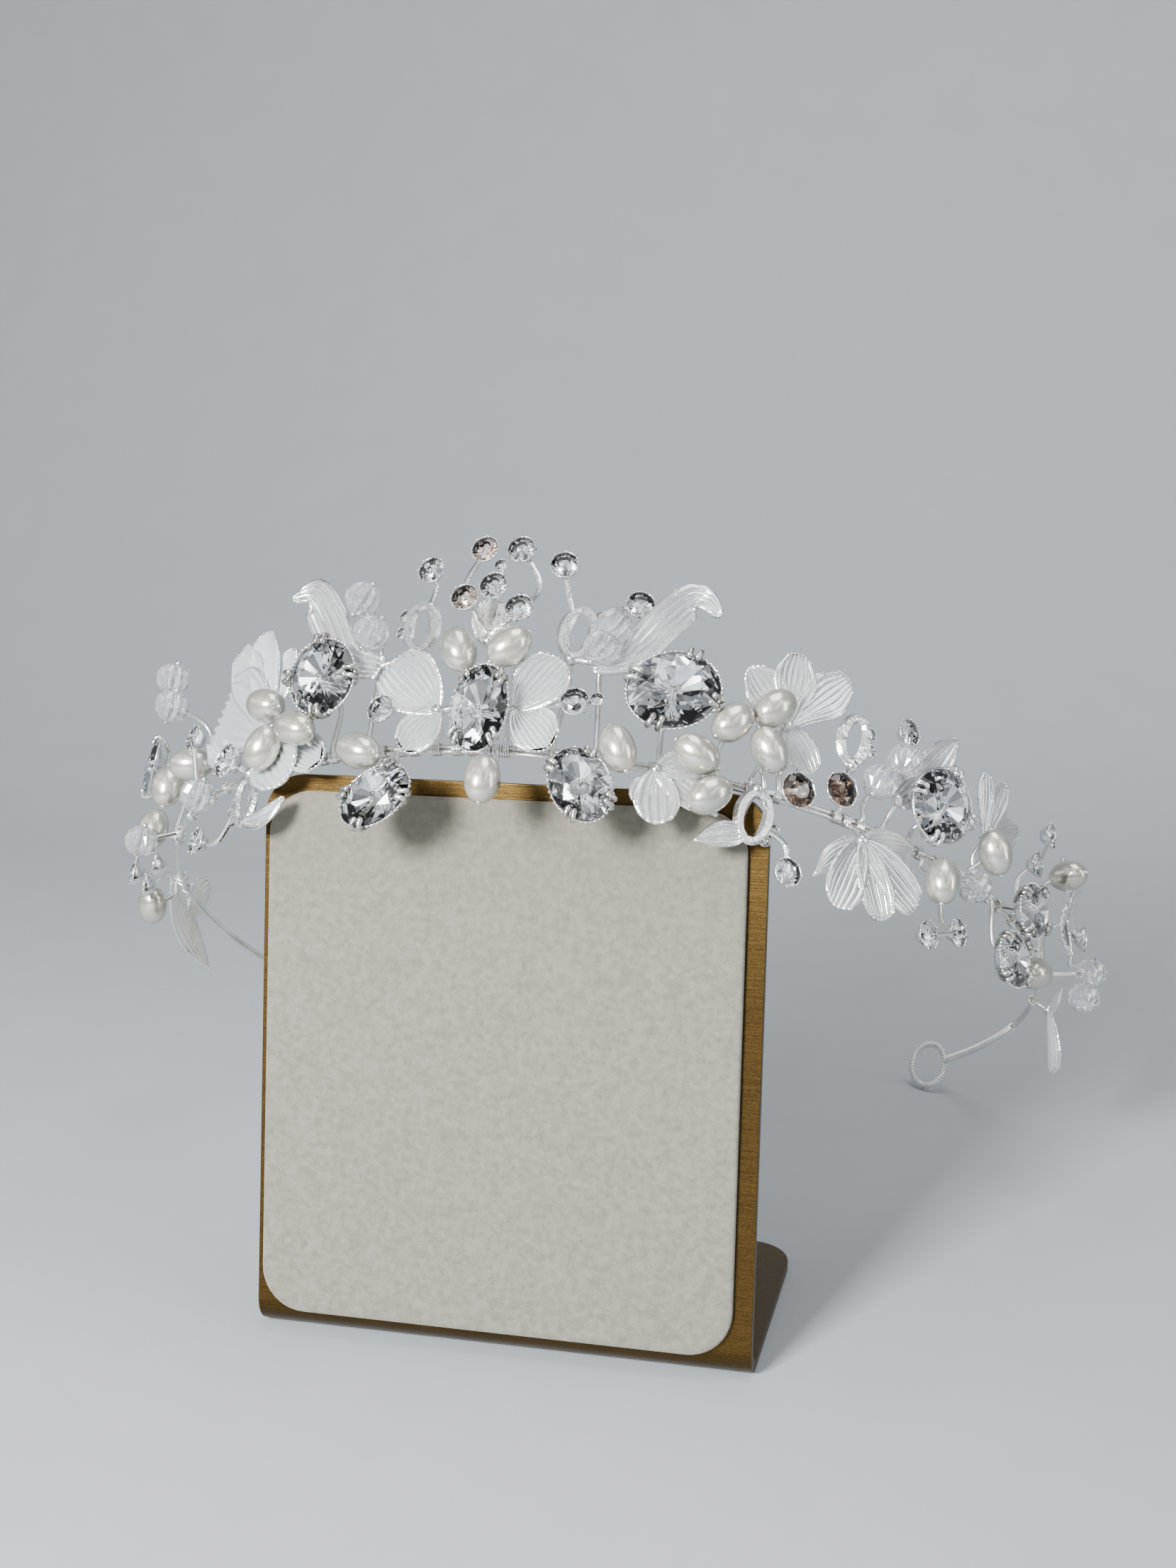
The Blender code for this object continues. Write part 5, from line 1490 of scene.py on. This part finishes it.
def room_light(strength):
    """Soft room light with brighter panels above the horizon."""
    room = Finish("studio", room=True)
    panels = room.ramp(room.noise(2.6, 2.0), (
        (0.36, (0.02, 0.02, 0.03)), (0.42, (0.42, 0.43, 0.45)),
        (0.50, (0.70, 0.72, 0.75)), (0.58, (3.4, 3.4, 3.4))))
    height = room.number("ShaderNodeSeparateXYZ", {}, {"Vector": room.places}, "Z")
    above = {"Value": height, "From Min": 0.14, "From Max": 0.30}
    share = room.number("ShaderNodeMapRange", {}, above, "Result")
    light = room.blend(share, (0.62, 0.64, 0.67, 1.0), panels)
    bpy.context.scene.world = room.surface(Color=light, Strength=strength)


def make_camera():
    """Camera at the photograph's place."""
    lens = bpy.data.cameras.new("camera")
    lens.sensor_width = SENSOR
    lens.lens = CAMERA_LENS
    lens.clip_start = 0.01
    lens.clip_end = 20
    camera = bpy.data.objects.new("camera", lens)
    level = math.cos(CAMERA_PITCH)
    ahead = Vector((math.sin(CAMERA_YAW) * level, math.cos(CAMERA_YAW) * level, -math.sin(CAMERA_PITCH)))
    right = Vector((math.cos(CAMERA_YAW), -math.sin(CAMERA_YAW), 0))
    axes = Matrix((right, right.cross(ahead), -ahead)).transposed()
    roll = Matrix.Rotation(CAMERA_ROLL, 4, "Z")
    camera.matrix_world = Matrix.Translation(CAMERA_PLACE) @ axes.to_4x4() @ roll
    bpy.context.scene.collection.objects.link(camera)
    bpy.context.scene.camera = camera


def make_stage(stage):
    """Floor, backdrop, light and camera."""
    stage_floor(stage.wall_distance)
    for name, place, size, power in LIGHTS:
        softbox(name, place, size, getattr(stage, power))
    room_light(stage.world_light)
    make_camera()


class TiaraSizes(bpy.types.PropertyGroup):
    """Sizes of the fine work that a maker may change."""

    wrap_pitch: bpy.props.FloatProperty(
        name="Winding pitch", description="Distance between turns of the wire wound over the ends",
        default=WRAP_PITCH, min=0.0003, max=0.002, unit="LENGTH")
    edge_rounding: bpy.props.FloatProperty(
        name="Stand edge", description="Rounding of the stand's cut edges",
        default=EDGE_ROUNDING, min=0.0, max=0.0006, unit="LENGTH")


class TiaraColours(bpy.types.PropertyGroup):
    """Colours that a maker may change."""

    stand_gold: bpy.props.FloatVectorProperty(
        name="Stand", description="Palest tone of the stand's gold",
        default=(0.085, 0.051, 0.0125), min=0.0, max=1.0, size=3, subtype="COLOR")
    pad_cream: bpy.props.FloatVectorProperty(
        name="Pad", description="Palest tone of the pad's nap",
        default=(0.19, 0.186, 0.15), min=0.0, max=1.0, size=3, subtype="COLOR")
    pearl_ivory: bpy.props.FloatVectorProperty(
        name="Pearls", description="Palest tone of the pearls",
        default=(0.60, 0.58, 0.51), min=0.0, max=1.0, size=3, subtype="COLOR")


class TiaraStage(bpy.types.PropertyGroup):
    """Light and backdrop of the studio."""

    wall_distance: bpy.props.FloatProperty(
        name="Backdrop distance", description="How far the backdrop stands behind the tiara",
        default=0.6, min=0.4, max=2.0, unit="LENGTH")
    key_power: bpy.props.FloatProperty(
        name="Key light", description="Power of the light beside the camera",
        default=8.5, min=0.0, unit="POWER")
    top_power: bpy.props.FloatProperty(
        name="Top light", description="Power of the light above", default=2.5, min=0.0, unit="POWER")
    side_power: bpy.props.FloatProperty(
        name="Side light", description="Power of the light at the right", default=1.2, min=0.0, unit="POWER")
    world_light: bpy.props.FloatProperty(
        name="Room light", description="Strength of the room's own light", default=0.6, min=0.0)


class TIARA_OT_stage(bpy.types.Operator):
    """Make the floor, the backdrop, the lights and the camera"""

    bl_idname = "tiara.stage"
    bl_label = "Stage"

    def execute(self, context):
        make_stage(context.scene.tiara_stage)
        return {"FINISHED"}


class TIARA_OT_stand(bpy.types.Operator):
    """Make the gold stand"""

    bl_idname = "tiara.stand"
    bl_label = "Gold stand"

    def execute(self, context):
        make_stand(context.scene.tiara_sizes)
        return {"FINISHED"}


class TIARA_OT_pad(bpy.types.Operator):
    """Make the cream pad on the stand"""

    bl_idname = "tiara.pad"
    bl_label = "Cream pad"

    def execute(self, context):
        make_pad()
        return {"FINISHED"}


class TIARA_OT_head_wire(bpy.types.Operator):
    """Make the head wire with its wound ends and loops"""

    bl_idname = "tiara.head_wire"
    bl_label = "Head wire"

    def execute(self, context):
        make_head_wire(context.scene.tiara_sizes)
        return {"FINISHED"}


class TIARA_OT_ovals(bpy.types.Operator):
    """Make the large oval stones"""

    bl_idname = "tiara.ovals"
    bl_label = "Oval stones"

    def execute(self, context):
        make_ovals()
        return {"FINISHED"}


class TIARA_OT_pearls(bpy.types.Operator):
    """Make the rice pearls"""

    bl_idname = "tiara.pearls"
    bl_label = "Pearls"

    def execute(self, context):
        make_pearls()
        return {"FINISHED"}


class TIARA_OT_beads(bpy.types.Operator):
    """Make the ribbed beads and the small cups beside them"""

    bl_idname = "tiara.beads"
    bl_label = "Beads"

    def execute(self, context):
        make_beads()
        return {"FINISHED"}


class TIARA_OT_crest(bpy.types.Operator):
    """Make the crest's fan and stones"""

    bl_idname = "tiara.crest"
    bl_label = "Crest"

    def execute(self, context):
        make_castings(("crest",), "silver")
        return {"FINISHED"}


class TIARA_OT_scrolls(bpy.types.Operator):
    """Make the scrolls with their rings"""

    bl_idname = "tiara.scrolls"
    bl_label = "Scrolls"

    def execute(self, context):
        make_castings(SCROLLS, "silver")
        return {"FINISHED"}


class TIARA_OT_flowers(bpy.types.Operator):
    """Make the orchid and the flowers"""

    bl_idname = "tiara.flowers"
    bl_label = "Flowers"

    def execute(self, context):
        make_castings(FLOWERS, "lacquer")
        return {"FINISHED"}


class TIARA_OT_leaves(bpy.types.Operator):
    """Make the leaves"""

    bl_idname = "tiara.leaves"
    bl_label = "Leaves"

    def execute(self, context):
        make_castings(LEAVES, "lacquer")
        return {"FINISHED"}


MAKERS = (
    TIARA_OT_stage, TIARA_OT_stand, TIARA_OT_pad, TIARA_OT_head_wire, TIARA_OT_ovals, TIARA_OT_pearls,
    TIARA_OT_beads, TIARA_OT_crest, TIARA_OT_scrolls, TIARA_OT_flowers, TIARA_OT_leaves,
)


class TIARA_PT_panel(bpy.types.Panel):
    """Sidebar panel with the tiara's sizes, colours and makers"""

    bl_label = "Tiara"
    bl_idname = "TIARA_PT_panel"
    bl_space_type = "VIEW_3D"
    bl_region_type = "UI"
    bl_category = "Tiara"

    def draw(self, context):
        """List the sizes, the colours, the stage and the makers."""
        for group in (context.scene.tiara_sizes, context.scene.tiara_colours, context.scene.tiara_stage):
            for name in group.bl_rna.properties.keys():
                if name not in ("rna_type", "name"):
                    self.layout.prop(group, name)
        for maker in MAKERS:
            self.layout.operator(maker.bl_idname)


CLASSES = (TiaraSizes, TiaraColours, TiaraStage, *MAKERS, TIARA_PT_panel)


def register():
    """Register the classes and the scene's properties."""
    for item in CLASSES:
        bpy.utils.register_class(item)
    bpy.types.Scene.tiara_sizes = bpy.props.PointerProperty(type=TiaraSizes)
    bpy.types.Scene.tiara_colours = bpy.props.PointerProperty(type=TiaraColours)
    bpy.types.Scene.tiara_stage = bpy.props.PointerProperty(type=TiaraStage)


def unregister():
    """Remove the scene's properties and the classes."""
    del bpy.types.Scene.tiara_stage
    del bpy.types.Scene.tiara_colours
    del bpy.types.Scene.tiara_sizes
    for item in reversed(CLASSES):
        bpy.utils.unregister_class(item)


def main():
    """Make the whole scene."""
    register()
    bpy.ops.tiara.stage()
    bpy.ops.tiara.stand()
    bpy.ops.tiara.pad()
    bpy.ops.tiara.head_wire()
    bpy.ops.tiara.ovals()
    bpy.ops.tiara.pearls()
    bpy.ops.tiara.beads()
    bpy.ops.tiara.crest()
    bpy.ops.tiara.scrolls()
    bpy.ops.tiara.flowers()
    bpy.ops.tiara.leaves()


if __name__ == "__main__":
    main()
